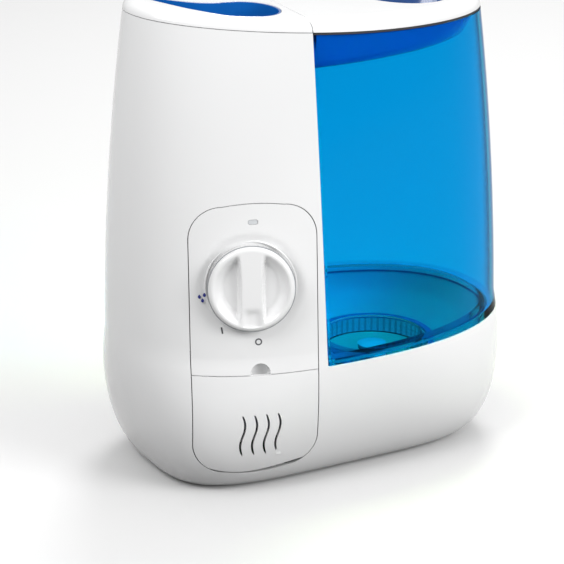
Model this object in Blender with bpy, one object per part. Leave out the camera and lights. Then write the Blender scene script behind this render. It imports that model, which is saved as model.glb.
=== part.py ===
"""Cool mist humidifier with a lift-off water tank beside a control tower.

Lengths are written in millimetres and turned into metres where a mesh is made. +Z is up and -Y is
the front. The origin is on the floor, in the middle of the plan outline.
"""

import math

import bmesh
import bpy
from mathutils import Matrix, Vector

MM = 0.001
GAP = 0.35                   # between pieces that would touch

# Body outline
BELLY_Z = 100.0              # height of the widest section
HALF_WIDTH = 133.0           # at the belly
WIDTH_TAPER = 11.8           # lost from the half width by SEAM_Z
TAPER_SPAN = 186.0
DEPTH_Z = 57.0
HALF_DEPTH = 86.9            # at DEPTH_Z
DEPTH_SLOPE = 0.0974         # half depth lost for each unit of height
DEPTH_BOW = 0.9
FILLET = 92.0                # height of the rounded lower edge
FILLET_IN_X = 28.2
FILLET_IN_Y = 44.8
SHELL_FOOT = 2.5             # lower edge of the housing
AROUND = 40                  # points round a section
LIFT_PASSES = 3              # rounds in which a sloping ring settles on the surface
SHARP_DEG = 32.0             # edges turned more than this stay sharp
LEAST_KEPT = 0.1             # a cut that leaves a smaller share has failed

# Top seam, higher on the tower side
SEAM_Z = 286.0
SEAM_SLOPE = -0.0767
SEAM_SAG = 0.000174

# Housing
WALL = 2.6
RIM_Z = 83.0                 # rim of the base round the tank
RIM_WIDTH = 6.0
DECK = 2.8                   # thickness of the ledge inside the rim
BAY_X = -28.6                # tank side of the wall between tower and tank
PLATE = 2.5                  # bottom plate

# Front panel and door, in a vertical frame turned towards the left
PANEL_TURN = math.radians(19.0)
PANEL_CENTRE = (-73.5, -74.5)
PANEL_HALF = 39.4
PANEL_TOP = 188.0
PANEL_FOOT = 17.2
PANEL_CORNER = 21.0
PANEL_CROWN = 1.6
PANEL_SPLIT = 83.0
PANEL_SEAM = 0.45
DOOR_SEAM = 1.1              # wider, so that the door's lower corners clear the housing as it tilts
NOTCH_RADIUS = 5.8
NOTCH_U = 2.6
SLOT_U = 2.0                 # middle of the row of wavy slots in the door
SLOT_Z = 44.0
SLOT_PITCH = 7.4

# Door hinge, inside the sill under the door
HINGE_TURN = math.radians(15.0)
HINGE_Z = 14.6
HINGE_OUT = 74.2             # outward distance of the axis from the origin
HINGE_CLEAR = 10.4           # radius left clear round the axis
HINGE_ROD = 1.2
LUG_U = (-14.0, 14.0)

# Knob
KNOB_AT = (-73.4, -67.3, 138.4)
KNOB_TURN = math.radians(24.0)
KNOB_TILT = math.radians(5.5)
KNOB_RADIUS = 26.4
KNOB_DEPTH = 10.5
SHAFT_RADIUS = 3.0

# Mist path
MIST_AT = (-52.5, -22.0)
CHIMNEY_RADIUS = 13.0
CHAMBER_RADIUS = 18.0
TRAY_FLOOR = 30.0
TRAY_WALL = 2.2
CHANNEL_HALF = 10.0
CHANNEL_TOP = 56.0
CHAMBER_TOP = 96.0
OUTLET_RADIUS = 10.5
OUTLET_DEPTH = 9.0           # of the outlet's floor below the top seam

# Tank
TANK_AT = (52.0, 0.0)
TANK_X = -27.9
TANK_WALL = 2.6
TANK_SEAT = 83.5             # underside of the tank's shoulder
TANK_FLOOR = 60.0
SKIRT_IN = 7.6               # of the tank's lower part behind the outer surface
NECK_RADIUS = 35.0
CAP_RADIUS = 41.0
CAP_FOOT = 46.0
VALVE_LIFT = 3.0
WELL_Z = 263.0               # underside of the grip well
OPENING_AT = (65.0, -2.5)
OPENING_HALF = (33.0, 33.5)

# Lids
LID_RISE = 8.4
LID_WALL = 2.3

# Fan and air intake
FAN_AT = (-76.0, 44.0, 112.0)
FAN_SIDE = 48.0
FAN_DEPTH = 14.0
IMPELLER_RADIUS = 21.0
BLADES = 7
GRILLE_SIDE = 46.0
GRILLE_SLOTS = 7

# Float
FLOAT_AT = (-6.0, 26.0)
FLOAT_TRAVEL = 12.0

INLET_AT = (-60.0, 40.0)     # x and z of the power inlet
FEET = ((-82.0, -30.0), (82.0, -30.0), (82.0, 30.0), (-82.0, 30.0))
PLATE_SCREWS = ((-94.0, -8.0), (-14.0, -46.0), (98.0, 0.0), (-14.0, 46.0))

FINISHES = {
    "white": ((0.86, 0.87, 0.88), 0.16, 0.0),
    "inner_white": ((0.78, 0.79, 0.80), 0.42, 0.0),
    "tank_blue": ((0.0, 0.27, 0.68), 0.06, 0.0),
    "deep_blue": ((0.01, 0.09, 0.42), 0.12, 0.0),
    "black_rubber": ((0.02, 0.02, 0.022), 0.7, 0.0),
    "grey_plastic": ((0.36, 0.37, 0.39), 0.45, 0.0),
    "steel": ((0.62, 0.63, 0.64), 0.28, 1.0),
    "aluminium": ((0.72, 0.73, 0.75), 0.35, 1.0),
    "brass": ((0.72, 0.55, 0.25), 0.3, 1.0),
    "board_green": ((0.03, 0.2, 0.09), 0.5, 0.0),
    "felt": ((0.82, 0.88, 0.93), 0.95, 0.0),
    "smoke_lens": ((0.6, 0.63, 0.66), 0.2, 0.0),
}


# ---- materials and meshes ----

def material(name):
    made = bpy.data.materials.get(name)
    if made:
        return made
    colour, roughness, metallic = FINISHES[name]
    made = bpy.data.materials.new(name)
    made.use_nodes = True
    shader = made.node_tree.nodes["Principled BSDF"]
    shader.inputs["Base Color"].default_value = (*colour, 1.0)
    shader.inputs["Roughness"].default_value = roughness
    shader.inputs["Metallic"].default_value = metallic
    return made


def finished(mesh, finish):
    """Gives a mesh its material and smooth shading between its sharp edges."""
    mesh.materials.clear()
    mesh.materials.append(material(finish))
    mesh.shade_smooth()
    mesh.set_sharp_from_angle(angle=math.radians(SHARP_DEG))


def solid(points, faces, finish, place):
    """A mesh object from points in millimetres, with its faces turned outwards."""
    move = place or Matrix.Identity(4)
    mesh = bpy.data.meshes.new("solid")
    mesh.from_pydata([(move @ Vector(p)) * MM for p in points], [], faces)
    work = bmesh.new()
    work.from_mesh(mesh)
    bmesh.ops.recalc_face_normals(work, faces=work.faces)
    work.to_mesh(mesh)
    work.free()
    finished(mesh, finish)
    made = bpy.data.objects.new("solid", mesh)
    made["finish"] = finish
    bpy.context.scene.collection.objects.link(made)
    return made


def volume_of(mesh):
    """The enclosed volume, or 0 where the mesh isn't closed."""
    work = bmesh.new()
    work.from_mesh(mesh)
    whole = all(len(edge.link_faces) == 2 for edge in work.edges)
    volume = work.calc_volume() if whole else 0.0
    work.free()
    return volume


def joined(body, other, operation):
    """Body with one more solid added, cut away or kept in common. The other solid is used up."""
    step = body.modifiers.new(operation, "BOOLEAN")
    step.operation = operation
    step.object = other
    least = LEAST_KEPT * volume_of(body.data) * (operation != "INTERSECT")
    for solver in ("EXACT", "MANIFOLD"):
        step.solver = solver
        graph = bpy.context.evaluated_depsgraph_get()
        mesh = bpy.data.meshes.new_from_object(body.evaluated_get(graph))
        if volume_of(mesh) > least:
            break
    body.modifiers.clear()
    old = body.data
    body.data = mesh
    bpy.data.meshes.remove(old)
    bpy.data.objects.remove(other)
    mesh.name = body.name
    finished(mesh, body["finish"])
    return body


def cut(body, *others):
    for other in others:
        joined(body, other, "DIFFERENCE")
    return body


def add(body, *others):
    for other in others:
        joined(body, other, "UNION")
    return body


def keep(body, other):
    return joined(body, other, "INTERSECT")


def named(body, name, finish):
    body.name = name
    body.data.name = name
    body["finish"] = finish
    finished(body.data, finish)
    return body


def set_origin(body, point):
    """Moves the object's origin onto its joint's axis and leaves the shape where it is."""
    at = Vector(point) * MM
    body.data.transform(Matrix.Translation(-at))
    body.location = at
    return body


def loft(rings, finish="white", place=None, fan=True):
    """A solid through closed rings of equal counts. A fan of faces or one face closes each end."""
    count = len(rings[0])
    points = [p for ring in rings for p in ring]
    faces = []
    for k in range(len(rings) - 1):
        for i in range(count):
            j = (i + 1) % count
            faces.append((k * count + i, k * count + j, (k + 1) * count + j, (k + 1) * count + i))
    for k in (0, len(rings) - 1):
        if not fan:
            faces.append(tuple(range(k * count, (k + 1) * count)))
            continue
        middle = sum((Vector(p) for p in rings[k]), Vector()) / count
        points.append(tuple(middle))
        hub = len(points) - 1
        faces += [(k * count + i, k * count + (i + 1) % count, hub) for i in range(count)]
    return solid(points, faces, finish, place)


def loop_loft(rings, finish="white", place=None):
    """A ring-shaped solid: the last ring of points joins the first."""
    count = len(rings[0])
    points = [p for ring in rings for p in ring]
    faces = []
    for k in range(len(rings)):
        m = (k + 1) % len(rings)
        for i in range(count):
            j = (i + 1) % count
            faces.append((k * count + i, k * count + j, m * count + j, m * count + i))
    return solid(points, faces, finish, place)


def turned(profile, finish="white", place=None, segments=20):
    """A turned solid from (radius, height) points. Ends off the axis are joined to each other."""
    points, rows = [], []
    for radius, height in profile:
        if radius == 0:
            points.append((0.0, 0.0, height))
            rows.append([len(points) - 1] * segments)
            continue
        rows.append(list(range(len(points), len(points) + segments)))
        for i in range(segments):
            angle = math.tau * i / segments
            points.append((radius * math.cos(angle), radius * math.sin(angle), height))
    if profile[0][0] > 0 and profile[-1][0] > 0:
        rows.append(rows[0])
    faces = []
    for low, high in zip(rows, rows[1:]):
        for i in range(segments):
            j = (i + 1) % segments
            corners = list(dict.fromkeys((low[i], low[j], high[j], high[i])))
            if len(corners) > 2:
                faces.append(corners)
    return solid(points, faces, finish, place)


def block(low, high, finish="white", place=None):
    corners = [(x, y, z) for z in (low[2], high[2]) for y in (low[1], high[1]) for x in (low[0], high[0])]
    faces = [(0, 1, 3, 2), (4, 5, 7, 6), (0, 1, 5, 4), (2, 3, 7, 6), (0, 2, 6, 4), (1, 3, 7, 5)]
    return solid(corners, faces, finish, place)


def prism(outline, low, high, finish="white", place=None):
    """An outline in x and y raised from low to high. Each may be a height or a function of x."""
    def level(value, x):
        return value(x) if callable(value) else value
    rings = [[(x, y, level(end, x)) for x, y in outline] for end in (low, high)]
    return loft(rings, finish, place, fan=False)


def at(x, y, z=0.0):
    return Matrix.Translation((x, y, z))


def along(origin, direction, up=(0.0, 0.0, 1.0)):
    """A frame whose Z runs along the direction and whose Y leans towards up."""
    z = Vector(direction).normalized()
    x = Vector(up).cross(z).normalized()
    y = z.cross(x)
    frame = Matrix((x, y, z)).transposed().to_4x4()
    frame.translation = Vector(origin)
    return frame


# ---- shared outlines ----

def section(z):
    """Half width, half depth and the two roundness exponents of the outer surface at a height."""
    z = max(z, SHELL_FOOT)
    half_x = HALF_WIDTH - WIDTH_TAPER * ((z - BELLY_Z) / TAPER_SPAN) ** 2
    share = (z - DEPTH_Z) / (SEAM_Z - DEPTH_Z)
    half_y = HALF_DEPTH - DEPTH_SLOPE * (z - DEPTH_Z) + 4 * DEPTH_BOW * share * (1 - share)
    up = z / SEAM_Z
    round_x, round_y = 2.1 - 0.2 * up, 2.28 - 0.2 * up
    if z < FILLET:
        low = (FILLET - z) / FILLET
        inward = 1 - math.sqrt(1 - low * low)
        half_x -= FILLET_IN_X * inward
        half_y -= FILLET_IN_Y * inward
        round_x += (4.5 - round_x) * low
        round_y += (3.0 - round_y) * low
    return half_x, half_y, round_x, round_y


def rounded(value, power):
    return math.copysign(abs(value) ** power, value)


def outline(z, inset=0.0, lift=None):
    """One ring of the outer surface, set in by a distance. lift gives its height from x instead of z."""
    ring = []
    for i in range(AROUND):
        angle = math.tau * (i + 0.5) / AROUND
        level = z
        for _ in range(LIFT_PASSES if lift else 1):
            half_x, half_y, round_x, round_y = section(level)
            x = (half_x - inset) * rounded(math.cos(angle), 2 / round_x)
            y = (half_y - inset) * rounded(math.sin(angle), 2 / round_y)
            level = lift(x) if lift else z
        ring.append((x, y, level))
    return ring


def seam(x):
    return SEAM_Z + SEAM_SLOPE * x + SEAM_SAG * x * x


def above_seam(rise):
    return lambda x: seam(x) + rise


SIDE_LEVELS = (SHELL_FOOT, 6.0, 13.0, 24.0, 40.0, 62.0, 92.0, 150.0, 220.0, 310.0)


def body_loft(inset, low=SHELL_FOOT, high=310.0):
    """The outer form, set in, between two heights."""
    levels = [low] + [z for z in SIDE_LEVELS if low + 1 < z < high - 1] + [high]
    return loft([outline(z, inset) for z in levels])


def over_seam(rise):
    """Everything above the top seam, as a cutter."""
    steps = [-150.0 + 25.0 * k for k in range(13)]
    edge = [(x, seam(x) + rise) for x in steps] + [(150.0, 360.0), (-150.0, 360.0)]
    return prism([(x, z) for x, z in edge], -120.0, 120.0, place=along((0, 0, 0), (0, -1, 0)))


def half_space(x_from, x_to, low=-10.0, high=360.0):
    return block((x_from, -130.0, low), (x_to, 130.0, high))


def rounded_rectangle(half, low, high, corner, crown, steps=5):
    """Panel outline in its own u and height, counter-clockwise, with a slightly bowed top and foot."""
    points = []
    corners = ((half - corner, low + corner, -90), (half - corner, high - corner, 0),
               (-half + corner, high - corner, 90), (-half + corner, low + corner, 180))
    for u, z, start in corners:
        for k in range(steps + 1):
            angle = math.radians(start + 90 * k / steps)
            points.append((u + corner * math.cos(angle), z + corner * math.sin(angle)))
        if start == 0:
            points.append((0.0, high + crown))
        if start == 180:
            points.append((0.0, low - crown))
    return points


def panel_frame(out=0.0):
    """Panel frame: X along the panel, Y up, Z outwards. Its origin is on the floor's level."""
    normal = Vector((-math.sin(PANEL_TURN), -math.cos(PANEL_TURN), 0.0))
    start = Vector((*PANEL_CENTRE, 0.0))
    start += normal * (out - start.dot(normal))
    return along(start, normal)


def hinge_frame():
    """Frame on the middle of the door's hinge: X outwards, Y up, Z along the axis."""
    normal = Vector((-math.sin(HINGE_TURN), -math.cos(HINGE_TURN), 0.0))
    along_u = Vector((normal.y, -normal.x, 0.0))
    middle = Vector((*PANEL_CENTRE, 0.0))
    start = normal * HINGE_OUT + along_u * middle.dot(along_u) + Vector((0.0, 0.0, HINGE_Z))
    frame = Matrix((normal, Vector((0.0, 0.0, 1.0)), normal.cross(Vector((0.0, 0.0, 1.0))))).transposed()
    frame = frame.to_4x4()
    frame.translation = start
    return frame


def panel_prism(shrink):
    outline_points = rounded_rectangle(PANEL_HALF - shrink, PANEL_FOOT + shrink, PANEL_TOP - shrink,
                                       PANEL_CORNER - shrink, PANEL_CROWN)
    return prism(outline_points, 55.0, 130.0, place=panel_frame())


def knob_frame(out=0.0):
    normal = Vector((-math.sin(KNOB_TURN) * math.cos(KNOB_TILT),
                     -math.cos(KNOB_TURN) * math.cos(KNOB_TILT), math.sin(KNOB_TILT)))
    return along(Vector(KNOB_AT) + normal * out, normal)


def teardrop(shrink, steps=9):
    """Outline of the mist outlet: a round end over the chimney and a tail that bends to the back."""
    spine = ((-53.0, -28.0, 19.5), (-68.0, -26.0, 17.0), (-83.0, -17.5, 11.0), (-96.0, -3.0, 6.0),
             (-105.5, 12.0, 3.0))
    left, right = [], []
    for k, (x, y, half) in enumerate(spine):
        before = spine[max(k - 1, 0)]
        after = spine[min(k + 1, len(spine) - 1)]
        way = Vector((after[0] - before[0], after[1] - before[1])).normalized()
        side = Vector((-way.y, way.x)) * (half - shrink)
        left.append((x + side.x, y + side.y))
        right.append((x - side.x, y - side.y))
    x, y, half = spine[0]
    start = math.atan2(right[0][1] - y, right[0][0] - x)
    cap = [(x + (half - shrink) * math.cos(start - math.pi * k / steps),
            y + (half - shrink) * math.sin(start - math.pi * k / steps)) for k in range(1, steps)]
    return left + right[::-1] + cap


# ---- base and tower ----

def build_housing():
    body = named(body_loft(0.0), "main_housing", "white")
    cut(body, over_seam(0.0), half_space(BAY_X, 160.0, RIM_Z))
    cavity = body_loft(WALL, -4.0, 330.0)
    cut(cavity, half_space(BAY_X - WALL, 160.0, RIM_Z - DECK))
    well = keep(body_loft(RIM_WIDTH, 70.0, 100.0), half_space(TANK_X + 5.0, 160.0))
    cut(body, cavity, well)
    add(body, *(boss(x, y) for x, y in PLATE_SCREWS))
    cut(body, keep(panel_prism(0.0), half_space(-160.0, BAY_X - WALL + 0.1)))
    cut(body, block((-GRILLE_SIDE / 2, -GRILLE_SIDE / 2, 20.0), (GRILLE_SIDE / 2, GRILLE_SIDE / 2, 90.0),
                    place=along((FAN_AT[0], 0, FAN_AT[2]), (0, 1, 0))))
    cut(body, block((-12.5, -9.5, 50.0), (12.5, 9.5, 110.0), place=along((INLET_AT[0], 0, INLET_AT[1]), (0, 1, 0))))
    return body


def build_bottom():
    ring = outline(SHELL_FOOT, WALL + 0.5)
    plate = named(loft([[(x, y, SHELL_FOOT + 0.1) for x, y, z in ring],
                        [(x, y, SHELL_FOOT + 0.1 + PLATE) for x, y, z in ring]]), "bottom_plate", "inner_white")
    for x, y in PLATE_SCREWS:
        cut(plate, turned([(0, -1.0), (3.4, -1.0), (3.4, SHELL_FOOT + 1.5), (0, SHELL_FOOT + 1.5)], place=at(x, y),
                          segments=12))
        cut(plate, turned([(0, 1.0), (1.6, 1.0), (1.6, 9.0), (0, 9.0)], place=at(x, y), segments=10))
    for k, (x, y) in enumerate(FEET, 1):
        named(turned([(0, 0), (7.0, 0), (8.0, 0.9), (8.0, SHELL_FOOT - 0.2), (0, SHELL_FOOT - 0.2)],
                     place=at(x, y), segments=20), f"foot_{k}", "black_rubber")
    for k, (x, y) in enumerate(PLATE_SCREWS, 1):
        screw(f"plate_screw_{k}", at(x, y, SHELL_FOOT + 1.2), 2.9, 1.3, 8.0)


def boss(x, y):
    """Screw boss that hangs in the housing over the bottom plate, with a rib to the wall."""
    low, high = SHELL_FOOT + PLATE + 0.6, 18.0
    post = turned([(0, low), (4.2, low), (4.2, high), (0, high)], place=at(x, y), segments=12)
    half_x, half_y, _, _ = section(low)
    if abs(y) < abs(x):
        reach = math.copysign(half_x - WALL / 2, x)
        add(post, block((min(x, reach), y - 1.0, low), (max(x, reach), y + 1.0, high - 4.0)))
    else:
        reach = math.copysign(half_y - WALL / 2, y)
        add(post, block((x - 1.0, min(y, reach), low), (x + 1.0, max(y, reach), high - 4.0)))
    return cut(post, turned([(0, 0.0), (1.6, 0.0), (1.6, 12.0), (0, 12.0)], place=at(x, y), segments=10))


def screw(name, place, head, shank, length):
    """Screw with its head's underside at the frame's origin and its shank along +Z."""
    shape = [(0, -1.0), (head, -0.6), (head, 0.0), (shank, 0.0), (shank, length), (0, length)]
    return named(turned(shape, place=place, segments=10), name, "steel")


def build_tray():
    foot, top = TRAY_FLOOR - TRAY_WALL, RIM_Z - DECK - 1.6
    inset = RIM_WIDTH - TRAY_WALL
    levels = (34.0, 44.0, 56.0, 68.0)
    outer = loft([outline(z, inset) for z in (foot, *levels, top)])
    inner = loft([outline(z, inset + TRAY_WALL) for z in (TRAY_FLOOR, *levels, top + 3.0)])
    tray = named(keep(outer, half_space(TANK_X + 2.0, 160.0)), "basin_tray", "inner_white")
    mx, my = MIST_AT
    add(tray, block((mx, my - CHANNEL_HALF - TRAY_WALL, foot), (TANK_X + 8.0, my + CHANNEL_HALF + TRAY_WALL,
                                                                CHANNEL_TOP + TRAY_WALL)))
    chamber = CHAMBER_RADIUS + TRAY_WALL
    add(tray, turned([(0, foot), (chamber, foot), (chamber, CHAMBER_TOP), (0, CHAMBER_TOP)], place=at(mx, my)))
    cut(tray, keep(inner, half_space(TANK_X + 2.0 + TRAY_WALL, 160.0)))
    cut(tray, turned([(0, TRAY_FLOOR), (CHAMBER_RADIUS, TRAY_FLOOR), (CHAMBER_RADIUS, CHAMBER_TOP + 4.0),
                      (0, CHAMBER_TOP + 4.0)], place=at(mx, my)))
    cut(tray, block((mx, my - CHANNEL_HALF, TRAY_FLOOR + 0.01), (TANK_X + 9.0, my + CHANNEL_HALF, CHANNEL_TOP)))
    cut(tray, turned([(0, foot - 3.0), (8.5, foot - 3.0), (8.5, TRAY_FLOOR + 3.0), (0, TRAY_FLOOR + 3.0)],
                     place=at(mx, my)))
    add(tray, turned([(0, foot + 0.5), (5.0, foot + 0.5), (3.4, CAP_FOOT - 5.8), (0, CAP_FOOT - 5.8)],
                     place=at(*TANK_AT), segments=12))
    cut(tray, block((-9.0, -9.0, CHAMBER_TOP - 26.0), (9.0, 9.0, CHAMBER_TOP - 8.0),
                    place=at(mx - 12.0, my + CHAMBER_RADIUS)))
    return tray


def build_basin_gasket():
    """Flat seal between the ledge and the top of the tray's wall."""
    low, high = RIM_Z - DECK - 1.3, RIM_Z - DECK - 0.3
    seal = named(loft([outline(low, RIM_WIDTH - TRAY_WALL), outline(high, RIM_WIDTH - TRAY_WALL)]),
                 "basin_gasket", "black_rubber")
    keep(seal, half_space(TANK_X + 2.0, 160.0))
    hole = loft([outline(low - 2.0, RIM_WIDTH), outline(high + 2.0, RIM_WIDTH)])
    return cut(seal, keep(hole, half_space(TANK_X + 2.0 + TRAY_WALL, 160.0)))


def build_nebuliser():
    place = at(*MIST_AT)
    top = TRAY_FLOOR - TRAY_WALL - 0.3
    named(turned([(7.0, top - 3.2), (12.0, top - 3.2), (12.0, top), (7.0, top), (7.0, top - 0.8),
                  (10.4, top - 0.8), (10.4, top - 2.4), (7.0, top - 2.4)], place=place),
          "transducer_seal", "black_rubber")
    named(turned([(0, top - 2.1), (10.0, top - 2.1), (10.0, top - 1.1), (0, top - 1.1)], place=place),
          "transducer_disc", "brass")
    holder = named(block((-18.0, -13.0, top - 5.6), (18.0, 13.0, top - 3.5), place=place),
                   "transducer_retainer", "aluminium")
    cut(holder, turned([(0, 0.0), (6.5, 0.0), (6.5, 40.0), (0, 40.0)], place=place))
    for k, side in enumerate((-1, 1), 1):
        spot = at(MIST_AT[0] + 15.5 * side, MIST_AT[1])
        cut(holder, turned([(0, 0.0), (1.7, 0.0), (1.7, 40.0), (0, 40.0)], place=spot, segments=10))
        screw(f"retainer_screw_{k}", spot @ at(0, 0, top - 5.9), 2.6, 1.3, 5.6)


def build_boards():
    named(block((-76.0, -44.0, 10.0), (-28.0, -2.0, 11.6)), "driver_board", "board_green")
    sink = named(block((-75.0, -40.0, 11.9), (-73.2, -8.0, 26.0)), "heat_sink", "aluminium")
    for k in range(4):
        y = -39.0 + 10.0 * k
        add(sink, block((-79.0, y, 12.4), (-74.0, y + 1.6, 26.0)))
    named(block((-98.0, 4.0, 10.0), (-56.0, 42.0, 11.6)), "power_board", "board_green")
    core = named(block((-92.0, 12.0, 11.9), (-64.0, 34.0, 34.0)), "transformer", "steel")
    add(core, block((-88.0, 7.0, 15.0), (-68.0, 39.0, 31.0)))


def build_chimney():
    x, y = MIST_AT
    inner, outer = CHIMNEY_RADIUS, CHIMNEY_RADIUS + 2.0
    top = seam(x) - OUTLET_DEPTH - 4.8
    wide = CHAMBER_RADIUS + TRAY_WALL
    foot = CHAMBER_TOP + GAP
    named(turned([(CHAMBER_RADIUS, foot), (wide, foot), (wide, foot + 3.0), (outer, foot + 16.0), (outer, top),
                  (inner, top), (inner, foot + 16.0), (CHAMBER_RADIUS, foot + 4.0)], place=at(x, y)),
          "mist_chimney", "inner_white")


def build_fan():
    x, y, z = FAN_AT
    place = along((x, y, z), (0, 1, 0))
    half, depth = FAN_SIDE / 2, FAN_DEPTH / 2
    frame = named(block((-half, -half, -depth), (half, half, depth), place=place), "fan_frame", "grey_plastic")
    bore = [(10.5, -depth - 2.0), (half - 1.8, -depth - 2.0), (half - 1.8, depth + 2.0), (0, depth + 2.0),
            (0, -depth + 1.8), (10.5, -depth + 1.8)]
    cut(frame, turned(bore, place=place))
    for angle in (0, 120, 240):
        arm = place @ Matrix.Rotation(math.radians(angle), 4, "Z")
        add(frame, block((9.0, -1.5, -depth), (half - 0.8, 1.5, -depth + 1.6), place=arm))
    for k, side in enumerate((-1, 1), 1):
        spot = place @ at(side * (half - 3.6), side * (half - 3.6))
        cut(frame, turned([(0, -20.0), (1.8, -20.0), (1.8, 20.0), (0, 20.0)], place=spot, segments=10))
        screw(f"fan_screw_{k}", spot @ at(0, 0, -depth - 0.3), 2.8, 1.3, FAN_DEPTH - 2.0)
    named(turned([(1.6, -depth + 2.2), (7.5, -depth + 2.2), (7.5, depth - 4.0), (1.6, depth - 4.0)], place=place,
                 segments=16), "fan_motor", "steel")
    hub = [(0, -depth + 1.9), (1.2, -depth + 1.9), (1.2, depth - 3.6), (8.2, depth - 3.6), (8.2, -depth + 2.6),
           (9.6, -depth + 2.6), (9.6, depth - 1.6), (0, depth - 1.6)]
    wheel = named(turned(hub, place=place), "fan_impeller", "grey_plastic")
    for k in range(BLADES):
        turn = place @ Matrix.Rotation(math.tau * k / BLADES, 4, "Z") @ Matrix.Rotation(math.radians(35), 4, "X")
        add(wheel, block((8.8, -4.4, -0.8), (IMPELLER_RADIUS, 4.4, 0.8), place=turn))
    set_origin(wheel, FAN_AT)
    build_duct()
    build_grille()


def build_duct():
    """Air duct from the fan down and forward to the window in the mist chamber's wall."""
    x, y, z = FAN_AT
    start = y - FAN_DEPTH / 2 - 1.8
    half = FAN_SIDE / 2 - 1.0
    mx, my = MIST_AT[0] - 12.0, MIST_AT[1] + CHAMBER_RADIUS + TRAY_WALL + 0.6
    low, high = CHAMBER_TOP - 28.0, CHAMBER_TOP - 6.0
    ends = ((start, x, z, half, half), (start - 7.0, x, z, half, half),
            (my + 9.0, mx, (low + high) / 2, 9.5, 11.0), (my, mx, (low + high) / 2, 9.5, 11.0))

    def ring(end, wall):
        at_y, cx, cz, hx, hz = end
        return [(cx + sx * (hx - wall), at_y, cz + sz * (hz - wall))
                for sx, sz in ((-1, -1), (1, -1), (1, 1), (-1, 1))]
    rings = [ring(end, 0.0) for end in ends] + [ring(end, 1.6) for end in reversed(ends)]
    named(loop_loft(rings), "air_duct", "inner_white")


def build_grille():
    x, z = FAN_AT[0], FAN_AT[2]
    place = along((x, 0, z), (0, 1, 0))
    half = GRILLE_SIDE / 2 - PANEL_SEAM
    grille = named(cut(body_loft(0.0, 60.0, 170.0), body_loft(WALL, 50.0, 180.0)), "intake_grille", "white")
    keep(grille, block((-half, -half, 20.0), (half, half, 90.0), place=place))
    pitch = 2 * (half - 4.0) / GRILLE_SLOTS
    for k in range(GRILLE_SLOTS):
        middle = -half + 4.0 + pitch * (k + 0.5)
        cut(grille, block((-half + 5.0, middle - 1.5, 10.0), (half - 5.0, middle + 1.5, 100.0), place=place))
    return grille


def build_inlet():
    x, z = INLET_AT
    place = along((x, 0, z), (0, 1, 0))
    back = 70.5
    inlet = named(block((-12.0, -9.0, back - 16.0), (12.0, 9.0, back), place=place), "power_inlet", "black_rubber")
    cut(inlet, block((-8.0, -4.5, back - 12.0), (8.0, 4.5, back + 3.0), place=place))
    for side in (-1, 1):
        add(inlet, turned([(0, back - 13.0), (1.2, back - 13.0), (1.2, back - 3.0), (0, back - 3.0)],
                          place=place @ at(4.3 * side, 0), segments=8))
    return inlet


def build_float():
    x, y = FLOAT_AT
    place = at(x, y)
    foot = TRAY_FLOOR + 0.3
    named(turned([(0, foot), (6.0, foot), (6.0, foot + 1.2), (2.4, foot + 1.2), (2.4, foot + 24.5),
                  (0, foot + 24.5)], place=place, segments=14), "float_guide", "inner_white")
    low = foot + 1.6
    ball = named(turned([(3.1, low), (9.5, low), (10.5, low + 1.2), (10.5, low + 6.8), (9.5, low + 8.0),
                         (3.1, low + 8.0)], place=place, segments=18), "water_float", "inner_white")
    magnet = named(turned([(3.2, low + 8.3), (6.4, low + 8.3), (6.4, low + 10.3), (3.2, low + 10.3)],
                          place=place, segments=16), "float_magnet", "steel")
    for piece in (ball, magnet):
        set_origin(piece, (x, y, low))
    reed_z = TRAY_FLOOR - TRAY_WALL - 3.4
    named(turned([(0, -8.0), (1.5, -8.0), (1.5, 8.0), (0, 8.0)], place=along((x, y, reed_z), (1, 0, 0)),
                 segments=10), "reed_switch", "smoke_lens")


# ---- panel, knob and door ----

def wall_piece(low, high, shrink, finish, name):
    """The part of the outer wall that lies inside the panel's outline, between two heights."""
    piece = named(cut(body_loft(0.0, 4.0, 210.0), body_loft(WALL, 3.0, 230.0)), name, finish)
    keep(piece, panel_prism(shrink))
    return keep(piece, block((-140.0, -130.0, low), (10.0, 0.0, high)))


def build_panel():
    panel = wall_piece(PANEL_SPLIT + PANEL_SEAM / 2, PANEL_TOP + 10.0, PANEL_SEAM, "white", "control_panel")
    face = knob_frame()
    cut(panel, turned([(0, -30.0), (4.2, -30.0), (4.2, 30.0), (0, 30.0)], place=face, segments=16))
    frame = panel_frame()
    notch = turned([(0, 50.0), (NOTCH_RADIUS, 50.0), (NOTCH_RADIUS, 140.0), (0, 140.0)],
                   place=frame @ at(NOTCH_U, PANEL_SPLIT + 0.6), segments=20)
    cut(panel, notch)
    light = frame @ at(-0.3, 178.0)
    cut(panel, prism(rounded_rectangle(3.2, -1.6, 1.6, 1.5, 0.0), 50.0, 140.0, place=light))
    named(prism(rounded_rectangle(2.9, -1.3, 1.3, 1.2, 0.0), 68.6, 85.0, place=light), "indicator_lens",
          "smoke_lens")
    named(turned([(28.0, 0.9), (31.5, 1.4), (30.6, 3.2), (28.8, 4.0), (27.2, 3.4), (27.2, 1.2)], place=face,
                 segments=32), "knob_bezel", "white")
    switch = named(block((-11.0, -11.0, -18.0), (11.0, 11.0, -4.0), place=face), "rotary_switch", "grey_plastic")
    cut(switch, turned([(0, -12.0), (3.4, -12.0), (3.4, 0.0), (0, 0.0)], place=face, segments=14))
    return panel


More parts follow.
